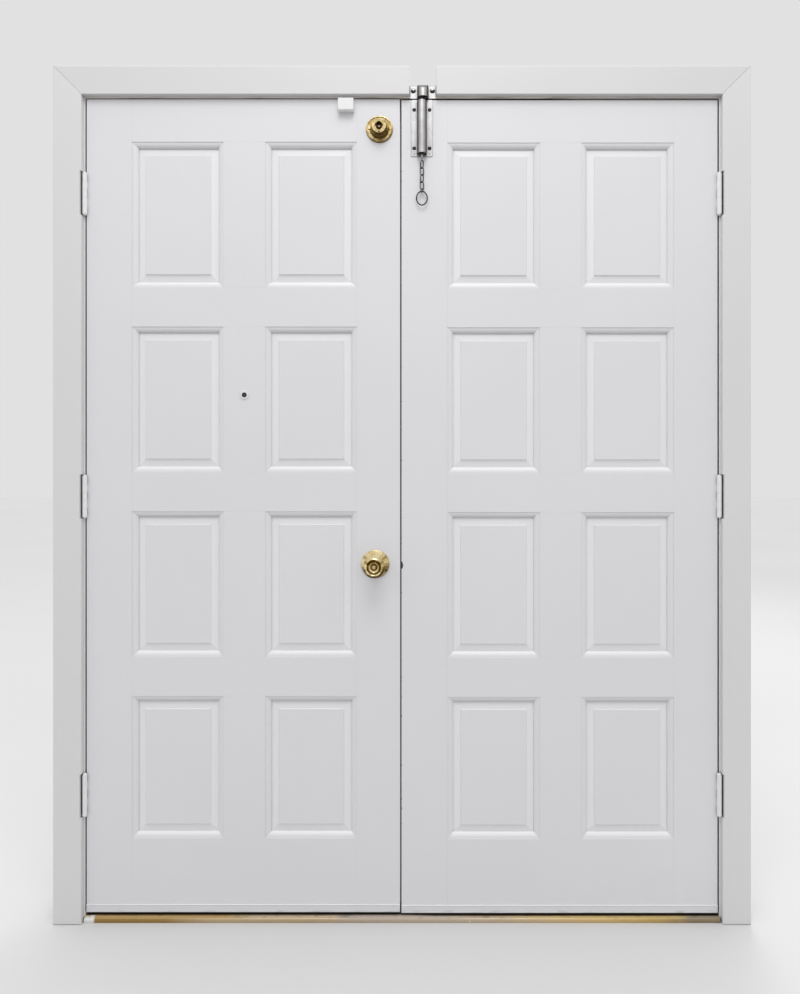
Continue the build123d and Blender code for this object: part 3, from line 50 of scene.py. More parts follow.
class Surface:
    """One procedural material: a Principled shader and the nodes that feed it."""

    def __init__(self, name, roughness, metallic=0.0, **constants):
        self.material = bpy.data.materials.new(name)
        self.material.use_nodes = True
        self.tree = self.material.node_tree
        self.shader = self.tree.nodes["Principled BSDF"]
        self.shader.inputs["Roughness"].default_value = roughness
        self.shader.inputs["Metallic"].default_value = metallic
        for socket, value in constants.items():
            self.shader.inputs[socket.replace("_", " ")].default_value = value
        self.place = self.node("ShaderNodeTexCoord", {}).outputs["Object"]

    def feed(self, socket, value):
        """Link a socket to another, or set its plain value."""
        if isinstance(value, bpy.types.NodeSocket):
            self.tree.links.new(value, socket)
        else:
            socket.default_value = value

    def node(self, kind, inputs, **settings):
        """Add a node with these settings and inputs."""
        made = self.tree.nodes.new(kind)
        for key, value in settings.items():
            setattr(made, key, value)
        for key, value in inputs.items():
            self.feed(made.inputs[key], value)
        return made

    def math(self, operation, first, second=0.0):
        """One step of arithmetic."""
        return self.node("ShaderNodeMath", {0: first, 1: second}, operation=operation).outputs[0]

    def axis(self, name):
        """One coordinate of the place, in metres."""
        return self.node("ShaderNodeSeparateXYZ", {0: self.place}).outputs[name]

    def stretched(self, x, y, z):
        """The place scaled along each axis, so that a texture runs along the grain."""
        return self.node("ShaderNodeMapping", {"Vector": self.place, "Scale": (x, y, z)}).outputs[0]

    def noise(self, scale, detail=2.0, place=None, distortion=0.0):
        """Smooth noise from 0 to 1."""
        inputs = {"Vector": place or self.place, "Scale": scale, "Detail": detail, "Distortion": distortion}
        return self.node("ShaderNodeTexNoise", inputs).outputs["Fac"]

    def cells(self, scale, place=None):
        """Distance from the nearest of many scattered points."""
        return self.node("ShaderNodeTexVoronoi", {"Vector": place or self.place, "Scale": scale}).outputs[0]

    def step(self, value, low, high):
        """0 below low, 1 above high and smooth between them; the other way round if low is the larger."""
        inputs = {"Value": value, "From Min": low, "From Max": high}
        return self.node("ShaderNodeMapRange", inputs, interpolation_type="SMOOTHSTEP").outputs[0]

    def line(self, value, low, high):
        """0 at low, 1 at high and straight between them."""
        inputs = {"Value": value, "From Min": low, "From Max": high}
        return self.node("ShaderNodeMapRange", inputs).outputs[0]

    def scale(self, value, low, high):
        """A value from 0 to 1 stretched to run from low to high."""
        return self.node("ShaderNodeMapRange", {"Value": value, "To Min": low, "To Max": high}).outputs[0]

    def within(self, name, low, high, soft):
        """1 where one coordinate is between two values, with soft ends."""
        value = self.axis(name)
        rising = self.step(value, low - soft, low + soft)
        return self.both(rising, self.step(value, high + soft, high - soft))

    def both(self, first, second):
        """1 where two masks are 1."""
        return self.math("MULTIPLY", first, second)

    def either(self, first, second):
        """1 where one of two masks is 1."""
        return self.math("MAXIMUM", first, second)

    def length(self, first, second):
        """Length of the slant over two sides."""
        squares = self.math("ADD", self.math("POWER", first, 2.0), self.math("POWER", second, 2.0))
        return self.math("SQRT", squares)

    def steepness(self, name):
        """How far the surface looks along an axis or against it, from 0 to 1."""
        return self.math("ABSOLUTE", self.facing(name))

    def ramp(self, value, *stops):
        """A colour ramp through (position, colour) stops in rising order."""
        made = self.node("ShaderNodeValToRGB", {"Fac": value})
        elements = made.color_ramp.elements
        for index, (position, colour) in enumerate(stops):
            element = elements[index] if index < 2 else elements.new(position)
            element.position = position
            element.color = (*colour, 1.0)
        return made.outputs["Color"]

    def mix(self, factor, first, second):
        """Two colours mixed by a factor."""
        colours = {0: factor, 6: self.solid(first), 7: self.solid(second)}
        return self.node("ShaderNodeMix", colours, data_type="RGBA").outputs[2]

    def lay(self, shade, colour, mask, strength):
        """The shade with a colour laid over it at this strength where the mask is 1."""
        return self.mix(self.scale(mask, 0.0, strength), shade, colour)

    def solid(self, colour):
        """A colour as a node takes it."""
        return (*colour, 1.0) if isinstance(colour, tuple) else colour

    def open_sky(self, reach, samples=8):
        """1 on open faces, falling to 0 deep in hollows no wider than the reach."""
        inputs = {"Distance": reach}
        return self.node("ShaderNodeAmbientOcclusion", inputs, samples=samples).outputs["AO"]

    def round_over(self, radius):
        """The normal with edges softened to this radius."""
        return self.node("ShaderNodeBevel", {"Radius": radius}, samples=6).outputs["Normal"]

    def round_only(self, radius, where):
        """The normal with edges softened only where a mask is 1."""
        true = self.node("ShaderNodeNewGeometry", {}).outputs["Normal"]
        normals = {0: where, 4: true, 5: self.round_over(radius)}
        return self.node("ShaderNodeMix", normals, data_type="VECTOR").outputs[1]

    def facing(self, name):
        """One part of the object's own normal, from -1 to 1: Z is how far the surface looks up."""
        own = self.node("ShaderNodeTexCoord", {}).outputs["Normal"]
        return self.node("ShaderNodeSeparateXYZ", {0: own}).outputs[name]

    def along_edges(self, rounded, low=0.02, high=0.12):
        """1 along convex and concave edges, where the softened normal leaves the true one."""
        true = self.node("ShaderNodeNewGeometry", {}).outputs["Normal"]
        dot = self.node("ShaderNodeVectorMath", {0: rounded, 1: true}, operation="DOT_PRODUCT")
        return self.step(self.math("SUBTRACT", 1.0, dot.outputs["Value"]), low, high)

    def finish(self, colour, relief, depth, roughness=None, rounded=None):
        """Connect the colour, the relief as bump, and the roughness."""
        self.feed(self.shader.inputs["Base Color"], self.solid(colour))
        bump = {"Height": relief, "Distance": depth, "Strength": 1.0}
        if rounded:
            bump["Normal"] = rounded
        self.feed(self.shader.inputs["Normal"], self.node("ShaderNodeBump", bump).outputs["Normal"])
        if roughness:
            self.feed(self.shader.inputs["Roughness"], roughness)
        return self


def tint(colour, factor):
    """A colour made lighter or darker."""
    return tuple(channel * factor for channel in colour)


# Colours, as linear red, green and blue
leaf_white = (0.80, 0.80, 0.825)
frame_white = (0.77, 0.765, 0.77)
# The head casing's white is a darker copy of the frame's, a painted shade; the jambs' white is a lighter
# copy, a painted highlight.
head_shaded_white = (0.735, 0.73, 0.735)
jamb_lit_white = (0.86, 0.855, 0.85)
hinge_white = (0.87, 0.87, 0.87)
# Painted light and shade: lighter white for faces that look up and for the panels' bevels, grey under
# downward faces and in the hollows, near black in the deep gaps
top_light_white = (0.90, 0.90, 0.91)
bevel_highlight_white = (0.90, 0.90, 0.92)
underside_shade_grey = (0.45, 0.45, 0.46)
hollow_shade_grey = (0.33, 0.32, 0.30)
gap_shade_black = (0.015, 0.015, 0.015)

# How a texture is stretched along the grain
along_x = (0.04, 1.0, 1.0)
along_z = (1.0, 1.0, 0.04)

# Places in metres, as in model.glb
meeting_line = -0.004
meeting_bands = (0.011, 0.009)
hinge_bands = (0.780, 0.782)
leaf_front = 0.0
head_face = 2.056
lock_height = 0.8915

stroke_scale = 260.0
stroke_depth = 0.00012
paint_roughness = (0.34, 0.5)


def paint(name, colour, grain, softness=0.0012, coat=0.0, leaf_edges_only=False):
    """Brushed white paint: faint strokes along the grain, painted shade in the hollows, near black painted
    shade in the deep gaps.

    A leaf's members butt against each other under the paint, so only their outer edges are softened.
    """
    s = Surface(name, 0.4, Coat_Weight=coat, Coat_Roughness=0.25)
    strokes = s.noise(stroke_scale, 3.0, s.stretched(*grain))
    cloud = s.noise(2.3, 4.0)
    smudge = s.step(s.noise(5.0, 6.0, distortion=0.6), 0.6, 0.8)
    if leaf_edges_only:
        from_meeting = s.math("ABSOLUTE", s.math("SUBTRACT", s.axis("X"), meeting_line))
        outer = s.either(s.step(from_meeting, *meeting_bands), s.step(from_meeting, *hinge_bands))
        rounded = s.round_only(softness, outer)
    else:
        rounded = s.round_over(softness)
    greyed = tint(colour, 0.93)
    shade = s.ramp(cloud, (0.3, tint(colour, 0.972)), (0.7, colour))
    shade = s.lay(shade, greyed, strokes, 0.1)
    shade = s.lay(shade, greyed, smudge, 0.25)
    # Painted shade: grey in the hollows and near black in the deep gaps, where shade falls.
    sky = s.open_sky(0.010)
    shade = s.mix(s.scale(sky, 0.22, 0.0), shade, hollow_shade_grey)
    shade = s.lay(shade, gap_shade_black, s.step(sky, 0.38, 0.16), 0.95)
    # Painted shade under faces that look down and painted light on faces that look up.
    upward = s.facing("Z")
    shade = s.lay(shade, underside_shade_grey, s.step(upward, -0.2, -0.9), 0.25)
    shade = s.lay(shade, top_light_white, s.step(upward, 0.2, 0.8), 0.5)
    return s, shade, strokes, rounded


def painted(name, colour, grain, depth=stroke_depth, **options):
    """A painted surface with nothing more to it."""
    s, shade, strokes, rounded = paint(name, colour, grain, **options)
    return s.finish(shade, strokes, depth, s.scale(strokes, *paint_roughness), rounded)


def dress(surface, *nodes):
    """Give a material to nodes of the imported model."""
    for name in nodes:
        slots = frame["nodes"][name].data.materials
        slots.clear()
        slots.append(surface.material)


def panel_paint():
    """The panels: the bevels at their sides and foot are painted lighter, a painted highlight."""
    s, shade, strokes, rounded = paint("Paint_panels", leaf_white, along_z)
    downward = s.math("MULTIPLY", s.facing("Z"), -1.0)
    # Painted highlight on the bevels that look sideways or down.
    bevels = s.step(s.either(s.steepness("X"), downward), 0.10, 0.22)
    shade = s.lay(shade, bevel_highlight_white, bevels, 0.7)
    return s.finish(shade, strokes, stroke_depth, s.scale(strokes, *paint_roughness), rounded)


def meeting_edge_paint():
    """The right leaf's meeting stile: paint chipped to dark wood beside the latch and along its edge."""
    chip_place = (-0.0020, lock_height - 0.003)
    chip_reach = (0.0046, 0.0105)
    edge_line = (-0.004, -0.0008)
    dark_wood = (0.07, 0.06, 0.055)
    s, shade, strokes, rounded = paint("Paint_meeting_stile", leaf_white, along_z, leaf_edges_only=True)
    across = s.math("DIVIDE", s.math("SUBTRACT", s.axis("X"), chip_place[0]), chip_reach[0])
    up = s.math("DIVIDE", s.math("SUBTRACT", s.axis("Z"), chip_place[1]), chip_reach[1])
    ragged = s.scale(s.noise(stroke_scale, 3.0), -0.5, 0.5)
    chip = s.step(s.math("ADD", s.length(across, up), ragged), 1.0, 0.85)
    small_chips = s.both(s.within("X", *edge_line, 0.0004), s.step(s.noise(130.0, 4.0), 0.6, 0.66))
    bare = s.either(chip, small_chips)
    relief = s.math("SUBTRACT", strokes, bare)
    shade = s.mix(bare, shade, dark_wood)
    return s.finish(shade, relief, 0.00014, s.scale(strokes, *paint_roughness), rounded)


def head_jamb_paint():
    """The head jamb: a thin strip of bare, stained wood shows above the leaves, with painted black shade
    under its edge over part of its length.
    """
    strip_heights = (2.0535, 2.0592)
    strip_middle = 0.2
    gap_shade_depths = (0.0035, 0.024)
    gap_shade_span = (0.0, 0.42)
    beige, pale_wood, dark_wood = (0.62, 0.57, 0.49), (0.85, 0.81, 0.73), (0.17, 0.11, 0.06)
    s, shade, strokes, rounded = paint("Paint_head_jamb", frame_white, along_x)
    streak = s.noise(70.0, 5.0, s.stretched(0.08, 1.0, 3.0), distortion=0.3)
    stain = s.ramp(streak, (0.3, beige), (0.5, pale_wood), (0.66, dark_wood))
    strip = s.both(s.within("Z", *strip_heights, 0.0004), s.step(s.axis("Y"), 0.03, 0.02))
    from_middle = s.math("ABSOLUTE", s.math("SUBTRACT", s.axis("X"), strip_middle))
    strip = s.both(strip, s.scale(s.step(from_middle, 0.30, 0.12), 0.55, 1.0))
    shade = s.mix(strip, shade, stain)
    # Painted shade: a near black line under the head jamb's edge, over part of its length, where the gap
    # above the leaves lies in shade.
    underside = s.step(s.axis("Z"), head_face + 0.0004, head_face + 0.0001)
    darkening = s.both(s.both(underside, s.within("Y", *gap_shade_depths, 0.0015)), s.within("X", *gap_shade_span, 0.06))
    shade = s.lay(shade, (0.015, 0.013, 0.010), darkening, 0.95)
    return s.finish(shade, strokes, stroke_depth, s.scale(strip, 0.42, 0.75), rounded)


def shoe_paint():
    """The bottom strips: white over aluminium, rubbed and grey low down, with painted black shade along the
    lower edge and black vinyl fins that also give the shade under the flange.
    """
    rubbed_below = 0.030
    right_leaf_drop = 0.002
    shade_line_below = 0.0228
    rubbed_grey, vinyl_and_shade_black = (0.46, 0.45, 0.43), (0.012, 0.011, 0.010)
    s, shade, strokes, rounded = paint("Paint_shoe", tint(leaf_white, 0.97), along_x, softness=0.0006)
    low = s.step(s.axis("Z"), rubbed_below, rubbed_below - 0.010)
    rub = s.both(low, s.step(s.noise(90.0, 5.0, s.stretched(0.2, 1.0, 1.0)), 0.5, 0.62))
    shade = s.lay(shade, rubbed_grey, rub, 0.6)
    # Painted shade: the lowest band of each strip, at each leaf's own height, is painted black; the fins
    # behind the front are black vinyl, which also stands for the shade under the flange.
    right_leaf = s.step(s.axis("X"), meeting_line - 0.0005, meeting_line + 0.0005)
    level = s.math("ADD", s.axis("Z"), s.scale(right_leaf, 0.0, right_leaf_drop))
    edge = s.step(level, shade_line_below, shade_line_below - 0.0008)
    fins = s.step(s.axis("Y"), leaf_front + 0.0002, leaf_front + 0.0010)
    shade = s.mix(s.either(edge, fins), shade, vinyl_and_shade_black)
    return s.finish(shade, strokes, stroke_depth, s.scale(rub, 0.4, 0.55), rounded)


def threshold_metal():
    """Worn brass threshold: brighter in some stretches along its length, dull or splashed with paint
    elsewhere, and painted darker on its front face, a painted shade.

    The zones run from its left end, at 0, to its right end, at 1. Under the leaves it is painted near black,
    a painted shade.
    """
    half_length = 0.79
    front_edge_height = 0.0108
    under_leaf_depths = (0.0005, 0.006)
    further_forward_at_right = 0.003
    splash_beyond = (0.764, 0.770)
    gold, rosy, dull = (0.86, 0.59, 0.26), (0.95, 0.77, 0.54), (0.62, 0.53, 0.45)
    top_zones = (
        (0.0, gold),
        (0.22, gold),
        (0.27, rosy),
        (0.39, rosy),
        (0.405, dull),
        (0.57, dull),
        (0.60, (0.66, 0.54, 0.42)),
        (0.66, (0.85, 0.68, 0.44)),
        (0.75, (0.98, 0.74, 0.35)),
        (0.935, (0.92, 0.68, 0.30)),
        (0.95, (0.52, 0.45, 0.32)),
    )
    front_shade_zones = (
        (0.0, (0.26, 0.15, 0.03)),
        (0.12, (0.28, 0.17, 0.04)),
        (0.20, (0.48, 0.38, 0.24)),
        (0.34, (0.44, 0.33, 0.19)),
        (0.45, (0.46, 0.38, 0.30)),
        (0.65, (0.52, 0.42, 0.30)),
        (0.80, (0.62, 0.44, 0.20)),
        (0.90, (0.50, 0.34, 0.11)),
        (0.95, (0.26, 0.20, 0.12)),
    )
    grit_brown, under_leaf_shade_black, paint_white = (0.16, 0.12, 0.06), (0.045, 0.034, 0.014), (0.78, 0.78, 0.76)
    s = Surface("Brass_threshold", 0.35, 1.0)
    wander = s.math("MULTIPLY", s.math("SUBTRACT", s.noise(9.0, 5.0), 0.5), 0.07)
    from_left = s.math("ADD", s.math("ADD", s.axis("X"), half_length), wander)
    along = s.math("MULTIPLY", from_left, 0.5 / half_length)
    grit = s.noise(160.0, 6.0, s.stretched(0.25, 1.0, 1.0))
    shade = s.lay(s.ramp(along, *top_zones), grit_brown, s.step(grit, 0.5, 0.72), 0.4)
    # Painted shade: the front face below the nose is laid over with darker zones.
    front = s.step(s.axis("Z"), front_edge_height, front_edge_height - 0.002)
    shade = s.lay(shade, s.ramp(along, *front_shade_zones), front, 0.9)
    # Painted shade: the top under the leaves, where their shade falls, is painted near black.
    forward = s.scale(s.step(s.axis("X"), 0.0, 0.1), 0.0, further_forward_at_right)
    depth = s.math("ADD", s.axis("Y"), forward)
    under_leaf_shade = s.both(s.step(depth, *under_leaf_depths), s.step(s.axis("Y"), 0.056, 0.048))
    shade = s.lay(shade, under_leaf_shade_black, under_leaf_shade, 0.95)
    left_end = s.both(s.step(s.math("ABSOLUTE", s.axis("X")), *splash_beyond), s.step(s.axis("X"), 0.0, -0.1))
    splash = s.both(left_end, s.step(s.noise(60.0, 4.0), 0.35, 0.45))
    drops = s.both(s.step(s.cells(42.0), 0.10, 0.07), s.step(s.noise(11.0, 2.0), 0.55, 0.62))
    white = s.both(s.either(splash, drops), s.step(under_leaf_shade, 0.6, 0.3))
    dusty = s.both(s.step(along, 0.38, 0.44), s.step(along, 0.64, 0.58))
    bare_metal = s.math("SUBTRACT", s.scale(dusty, 0.5, 0.25), white)
    s.feed(s.shader.inputs["Metallic"], s.math("MAXIMUM", bare_metal, 0.0))
    shade = s.mix(white, shade, paint_white)
    rough = s.scale(s.either(s.either(white, dusty), grit), 0.2, 0.6)
    scratches = s.noise(500.0, 3.0, s.stretched(0.03, 1.0, 1.0))
    relief = s.math("ADD", s.math("MULTIPLY", white, 2.0), scratches)
    return s.finish(shade, relief, 0.00008, rough, s.round_over(0.0009))


# Half the width and height of the upright oval painted dark round the key hole, a painted shade
key_shade_oval = (0.0078, 0.0108)

# Painted light and shade: tones from dark, where the brass looks down, to bright, where it looks forward or
# up
brass_light_and_shade_tones = (
    (0.0, (0.09, 0.05, 0.008)),
    (0.25, (0.27, 0.19, 0.055)),
    (0.5, (0.62, 0.47, 0.20)),
    (0.78, (0.92, 0.76, 0.44)),
)
# Tarnish in the hollows, which also stands for painted shade there and underneath
brass_tarnish_and_shade = (0.15, 0.088, 0.018)
brass_spot = (0.22, 0.15, 0.06)
brass_edge = (0.92, 0.78, 0.50)
# A painted shade for the key hole and a painted glint for its middle
key_shade_dark, key_glint_bright = (0.045, 0.018, 0.008), (0.95, 0.86, 0.76)


def brass(name, centre=None, shine=0.2, streaks=1.0, key_hole=False):
    """Polished brass with painted light and shade: bright where it looks forward or up, dark where it looks
    down, and tarnished, with painted shade, in the hollows and underneath.

    Turned pieces have fine rings about their centre and a painted fan of lighter and darker reflections
    across them.
    Round a lock's key hole an upright oval is painted dark, a painted shade, with a painted glint in its
    middle.
    """
    s = Surface(name, shine, 1.0, Anisotropic=0.55 if centre else 0.0)
    # Painted light: brighter where the brass looks up or forward, with random mottling.
    front = s.math("POWER", s.steepness("Y"), 3.0)
    light_and_shade_lift = s.math("ADD", s.math("MULTIPLY", s.facing("Z"), 0.85), s.math("MULTIPLY", front, 0.42))
    light_and_shade_lift = s.math("ADD", light_and_shade_lift, s.math("MULTIPLY", s.noise(70.0, 4.0), 0.3))
    if centre:
        inputs = {"Vector": s.place, "Location": (-centre[0], 0.0, -centre[1]), "Scale": (1.0, 0.0, 1.0)}
        flat = s.node("ShaderNodeMapping", inputs).outputs[0]
        away = s.node("ShaderNodeVectorMath", {0: flat}, operation="LENGTH").outputs["Value"]
        ring_inputs = {"W": away, "Scale": 2600.0}
        rings = s.node("ShaderNodeTexNoise", ring_inputs, noise_dimensions="1D").outputs["Fac"]
        tangent = s.node("ShaderNodeTangent", {}, direction_type="RADIAL", axis="Y").outputs[0]
        s.feed(s.shader.inputs["Tangent"], tangent)
        # A painted fan of lighter and darker reflections across turned pieces.
        spoke = s.node("ShaderNodeVectorMath", {0: flat}, operation="NORMALIZE").outputs["Vector"]
        uneven = s.math("SUBTRACT", s.noise(2.6, 1.0, spoke), 0.5)
        fan = s.math("MULTIPLY", uneven, s.step(away, 0.006, 0.02))
        light_and_shade_lift = s.math("ADD", light_and_shade_lift, s.math("MULTIPLY", fan, streaks))
    else:
        rings = s.noise(900.0, 2.0, s.stretched(1.0, 0.1, 1.0))
    tone = s.ramp(light_and_shade_lift, *brass_light_and_shade_tones)
    # Tarnish in the hollows and painted shade there, most where they look down.
    wide = s.step(s.open_sky(0.020, 10), 0.80, 0.25)
    fine = s.step(s.open_sky(0.0025, 10), 0.90, 0.45)
    tarnish_and_shade = s.either(s.math("MULTIPLY", wide, 0.55), fine)
    tarnish_and_shade = s.both(tarnish_and_shade, s.scale(s.step(s.facing("Z"), 0.3, -0.05), 0.15, 1.0))
    tone = s.mix(tarnish_and_shade, tone, brass_tarnish_and_shade)
    rounded = s.round_over(0.0006)
    tone = s.lay(tone, brass_edge, s.along_edges(rounded), 0.35)
    spots = s.step(s.noise(240.0, 5.0), 0.64, 0.74)
    tone = s.lay(tone, brass_spot, spots, 0.4)
    if key_hole:
        # Painted shade over an upright oval round the key hole, and a painted glint in its middle.
        across = s.math("DIVIDE", s.math("SUBTRACT", s.axis("X"), centre[0]), key_shade_oval[0])
        up = s.math("DIVIDE", s.math("SUBTRACT", s.axis("Z"), centre[1]), key_shade_oval[1])
        tone = s.mix(s.step(s.length(across, up), 1.05, 0.95), tone, key_shade_dark)
        tone = s.mix(s.step(away, 0.0030, 0.0016), tone, key_glint_bright)
    rough = s.scale(s.either(spots, rings), shine * 0.7, shine * 1.7)
    return s.finish(tone, rings, 0.000025, rough, rounded)


def metal(name, dark, light, roughness, streak, metallic=0.9, side_shade=None, under=None, rim=None):
    """Plain metal with drawn streaks, dark specks and painted shade in the hollows.

    Painted shade can darken the sides of round pieces, which look away from the front, their undersides, and
    the rim of a plate.
    """
    s = Surface(name, roughness, metallic)
    lines = s.noise(420.0, 3.0, s.stretched(*streak))
    tone = s.ramp(s.noise(38.0, 5.0), (0.32, dark), (0.68, light))
    tone = s.lay(tone, dark, lines, 0.25)
    # Painted shade: the sides of round pieces, which turn away from the front, are darker.
    if side_shade:
        front = s.math("POWER", s.steepness("Y"), 2.0)
        tone = s.mix(s.line(front, 0.98, 0.3), tone, side_shade)
    # Painted shade on faces that look down.
    if under:
        tone = s.mix(s.step(s.facing("Z"), 0.25, -0.25), tone, under)
    rounded = s.round_over(0.0005)
    # Painted shade along the rim of a plate; otherwise the edges are worn lighter.
    if rim:
        tone = s.lay(tone, rim, s.along_edges(s.round_over(0.0018), 0.01, 0.08), 0.8)
    else:
        tone = s.lay(tone, tint(light, 1.15), s.along_edges(rounded), 0.5)
    # Dark specks, and painted shade in the hollows.
    specks = s.step(s.noise(330.0, 5.0), 0.63, 0.7)
    darkening = s.either(s.scale(specks, 0.0, 0.55), s.scale(s.open_sky(0.008), 0.85, 0.0))
    tone = s.mix(darkening, tone, (0.10, 0.09, 0.08))
    rough = s.scale(lines, roughness * 0.75, roughness * 1.35)
    return s.finish(tone, lines, 0.00004, rough, rounded)


def rubber(name, colour):
    """Matt seal with a fine skin."""
    s = Surface(name, 0.7)
    skin = s.noise(900.0, 3.0)
    tone = s.ramp(s.noise(30.0, 4.0), (0.3, tint(colour, 0.8)), (0.7, tint(colour, 1.15)))
    return s.finish(tone, skin, 0.00012, s.scale(skin, 0.6, 0.85), s.round_over(0.0006))


def plastic(name, colour):
    """Moulded plastic with a fine grained skin and painted shade in its corners."""
    s = Surface(name, 0.35)
    skin = s.noise(1500.0, 2.0)
    tone = s.ramp(s.noise(25.0, 3.0), (0.3, tint(colour, 0.97)), (0.7, colour))
    # Painted shade in the corners.
    tone = s.mix(s.scale(s.open_sky(0.004), 0.75, 0.0), tone, (0.25, 0.24, 0.23))
    return s.finish(tone, skin, 0.00002, s.scale(skin, 0.3, 0.45), s.round_over(0.0012))


def lens(name):
    """Dark glass with a trace of dust."""
    s = Surface(name, 0.06, Coat_Weight=0.5)
    dust = s.noise(700.0, 4.0)
    tone = s.ramp(dust, (0.45, (0.006, 0.006, 0.008)), (0.75, (0.030, 0.030, 0.034)))
    return s.finish(tone, dust, 0.000004, s.scale(dust, 0.04, 0.16))


def middle(node):
    """Middle of a node's box as (x, z)."""
    low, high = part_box(node)
    return ((low.x + high.x) / 2, (low.z + high.z) / 2)


dress(
    painted("Paint_uprights", leaf_white, along_z, leaf_edges_only=True),
    "left_hinge_stile",
    "left_lock_stile",
    "left_mullions",
    "right_hinge_stile",
    "right_mullions",
)
dress(panel_paint(), "left_panels", "right_panels")
dress(
    painted("Paint_rails", leaf_white, along_x, leaf_edges_only=True),
    "left_top_rail",
    "left_middle_rails",
    "left_bottom_rail",
    "right_top_rail",
    "right_middle_rails",
    "right_bottom_rail",
)
dress(meeting_edge_paint(), "right_meeting_stile")
dress(painted("Paint_side_casing", frame_white, along_z), "casing_left", "casing_right")
# The jambs get the lighter copy of the frame's white, a painted highlight; the head casing the darker copy, a
# painted shade.
dress(painted("Paint_side_jambs", jamb_lit_white, along_z), "jamb_left", "jamb_right")
dress(painted("Paint_head_casing", head_shaded_white, along_x), "casing_head_left", "casing_head_right")
dress(head_jamb_paint(), "jamb_head")
dress(shoe_paint(), "left_door_shoe", "right_door_shoe")
dress(threshold_metal(), "threshold")
dress(rubber("Rubber_seal", (0.035, 0.034, 0.033)), "meeting_seal")
dress(rubber("Rubber_strip", (0.52, 0.50, 0.45)), "weatherstrips")
dress(
    painted("Paint_hinges", hinge_white, along_z, depth=0.0003, softness=0.0004, coat=0.2),
    "hinge_frame_plates",
    "hinge_pins",
    "left_hinge_plates",
    "right_hinge_plates",
)
# The knob's painted fan of reflections is stronger.
knob_brass = brass("Brass_knob", middle("inside_knob"), streaks=1.9)
dress(knob_brass, "inside_knob", "outside_knob", "knob_button", "knob_roses")
lock_middle = middle("deadbolt_collars")
dress(brass("Brass_deadbolt", lock_middle, key_hole=True), "deadbolt_collars")
dress(brass("Brass_plugs", lock_middle, key_hole=True), "inside_key_plug", "outside_key_plug")
brass_screw = brass("Brass_screws", shine=0.3)
dress(brass_screw, "deadbolt_screws")
dress(brass("Brass_plates", shine=0.3), "latch_case", "deadbolt_case", "latch_bolt", "strike_plates")
dress(metal("Steel_bolt", (0.42, 0.41, 0.40), (0.60, 0.59, 0.57), 0.3, along_x), "deadbolt_bolt")
# The bolt's sides and plate rims, the chain wire's sides and the keeper screws' undersides get painted shade.
bolt_dark, bolt_light, edge_and_side_shade = (0.56, 0.56, 0.57), (0.73, 0.73, 0.735), (0.13, 0.11, 0.09)
bolt_metal = metal("Metal_bolt", bolt_dark, bolt_light, 0.30, along_z, side_shade=edge_and_side_shade, rim=edge_and_side_shade)
dress(bolt_metal, "chain_bolt_body", "bolt_keeper", "chain_bolt_rod", "chain_bolt_spring")
chain_dark, chain_light, wire_side_shade = (0.02, 0.019, 0.018), (0.055, 0.052, 0.05), (0.012, 0.011, 0.010)
chain_metal = metal("Metal_chain", chain_dark, chain_light, 0.36, along_z, 0.7, side_shade=wire_side_shade)
links = [f"chain_link_{number}" for number in (1, 2, 3, 4)]
dress(chain_metal, *links, "chain_small_link", "chain_ring")
dress(metal("Metal_screws", (0.035, 0.032, 0.030), (0.12, 0.11, 0.10), 0.4, along_x), "chain_bolt_screws")
keeper_dark, keeper_light, keeper_underside_shade = (0.55, 0.54, 0.53), (0.75, 0.74, 0.73), (0.05, 0.045, 0.04)
keeper_metal = metal("Metal_keeper_screws", keeper_dark, keeper_light, 0.35, along_x, under=keeper_underside_shade)
dress(keeper_metal, "keeper_screws")
viewer_paint = painted("Paint_viewer", (0.80, 0.80, 0.81), along_z, softness=0.0004)
dress(viewer_paint, "viewer_eyepiece", "viewer_barrel")
dress(lens("Glass_viewer"), "viewer_lenses")
dress(plastic("Plastic_sensor", (0.86, 0.86, 0.865)), "contact_sensor")


def cross_outline(reach, half):
    """The twelve corners of a plus sign."""
    corner = [(reach, -half), (reach, half), (half, half)]
    turns = [Matrix.Rotation(math.pi / 2 * quarter, 2) for quarter in range(4)]
    return [turn @ Vector(point) for turn in turns for point in corner]


def screw_head(mesh, place, normal, radius, turn):
    """A flat cross-recessed head, its face just proud of the plate it holds."""
    proud, sunk, recess = 0.00018, -0.0003, -0.0011
    rim_share, cross_reach, cross_half, cross_floor = 0.95, 0.52, 0.11, 0.62
    sides = 24
    pose = normal.to_track_quat("Z", "Y").to_matrix() @ Matrix.Rotation(turn, 3, "Z")
    circle = [Vector((math.cos(a), math.sin(a))) for a in (math.tau * n / sides for n in range(sides))]

    def ring(points, size, height):
        return [mesh.verts.new(place + pose @ Vector((p.x * size, p.y * size, height))) for p in points]

    def band(lower, upper):
        count = len(lower)
        for n in range(count):
            mesh.faces.new((lower[n], lower[(n + 1) % count], upper[(n + 1) % count], upper[n]))

    def loop(ring_verts):
        count = len(ring_verts)
        return [mesh.edges.get((ring_verts[n], ring_verts[(n + 1) % count])) for n in range(count)]

    skirt = ring(circle, radius, sunk)
    shoulder = ring(circle, radius, proud * 0.4)
    rim = ring(circle, radius * rim_share, proud)
    outline = cross_outline(radius * cross_reach, radius * cross_half)
    mouth = ring(outline, 1.0, proud)
    floor = ring(outline, cross_floor, recess)
    band(skirt, shoulder)
    band(shoulder, rim)
    band(floor, mouth)
    mesh.faces.new(floor)
    bmesh.ops.triangle_fill(mesh, use_beauty=True, edges=loop(rim) + loop(mouth))


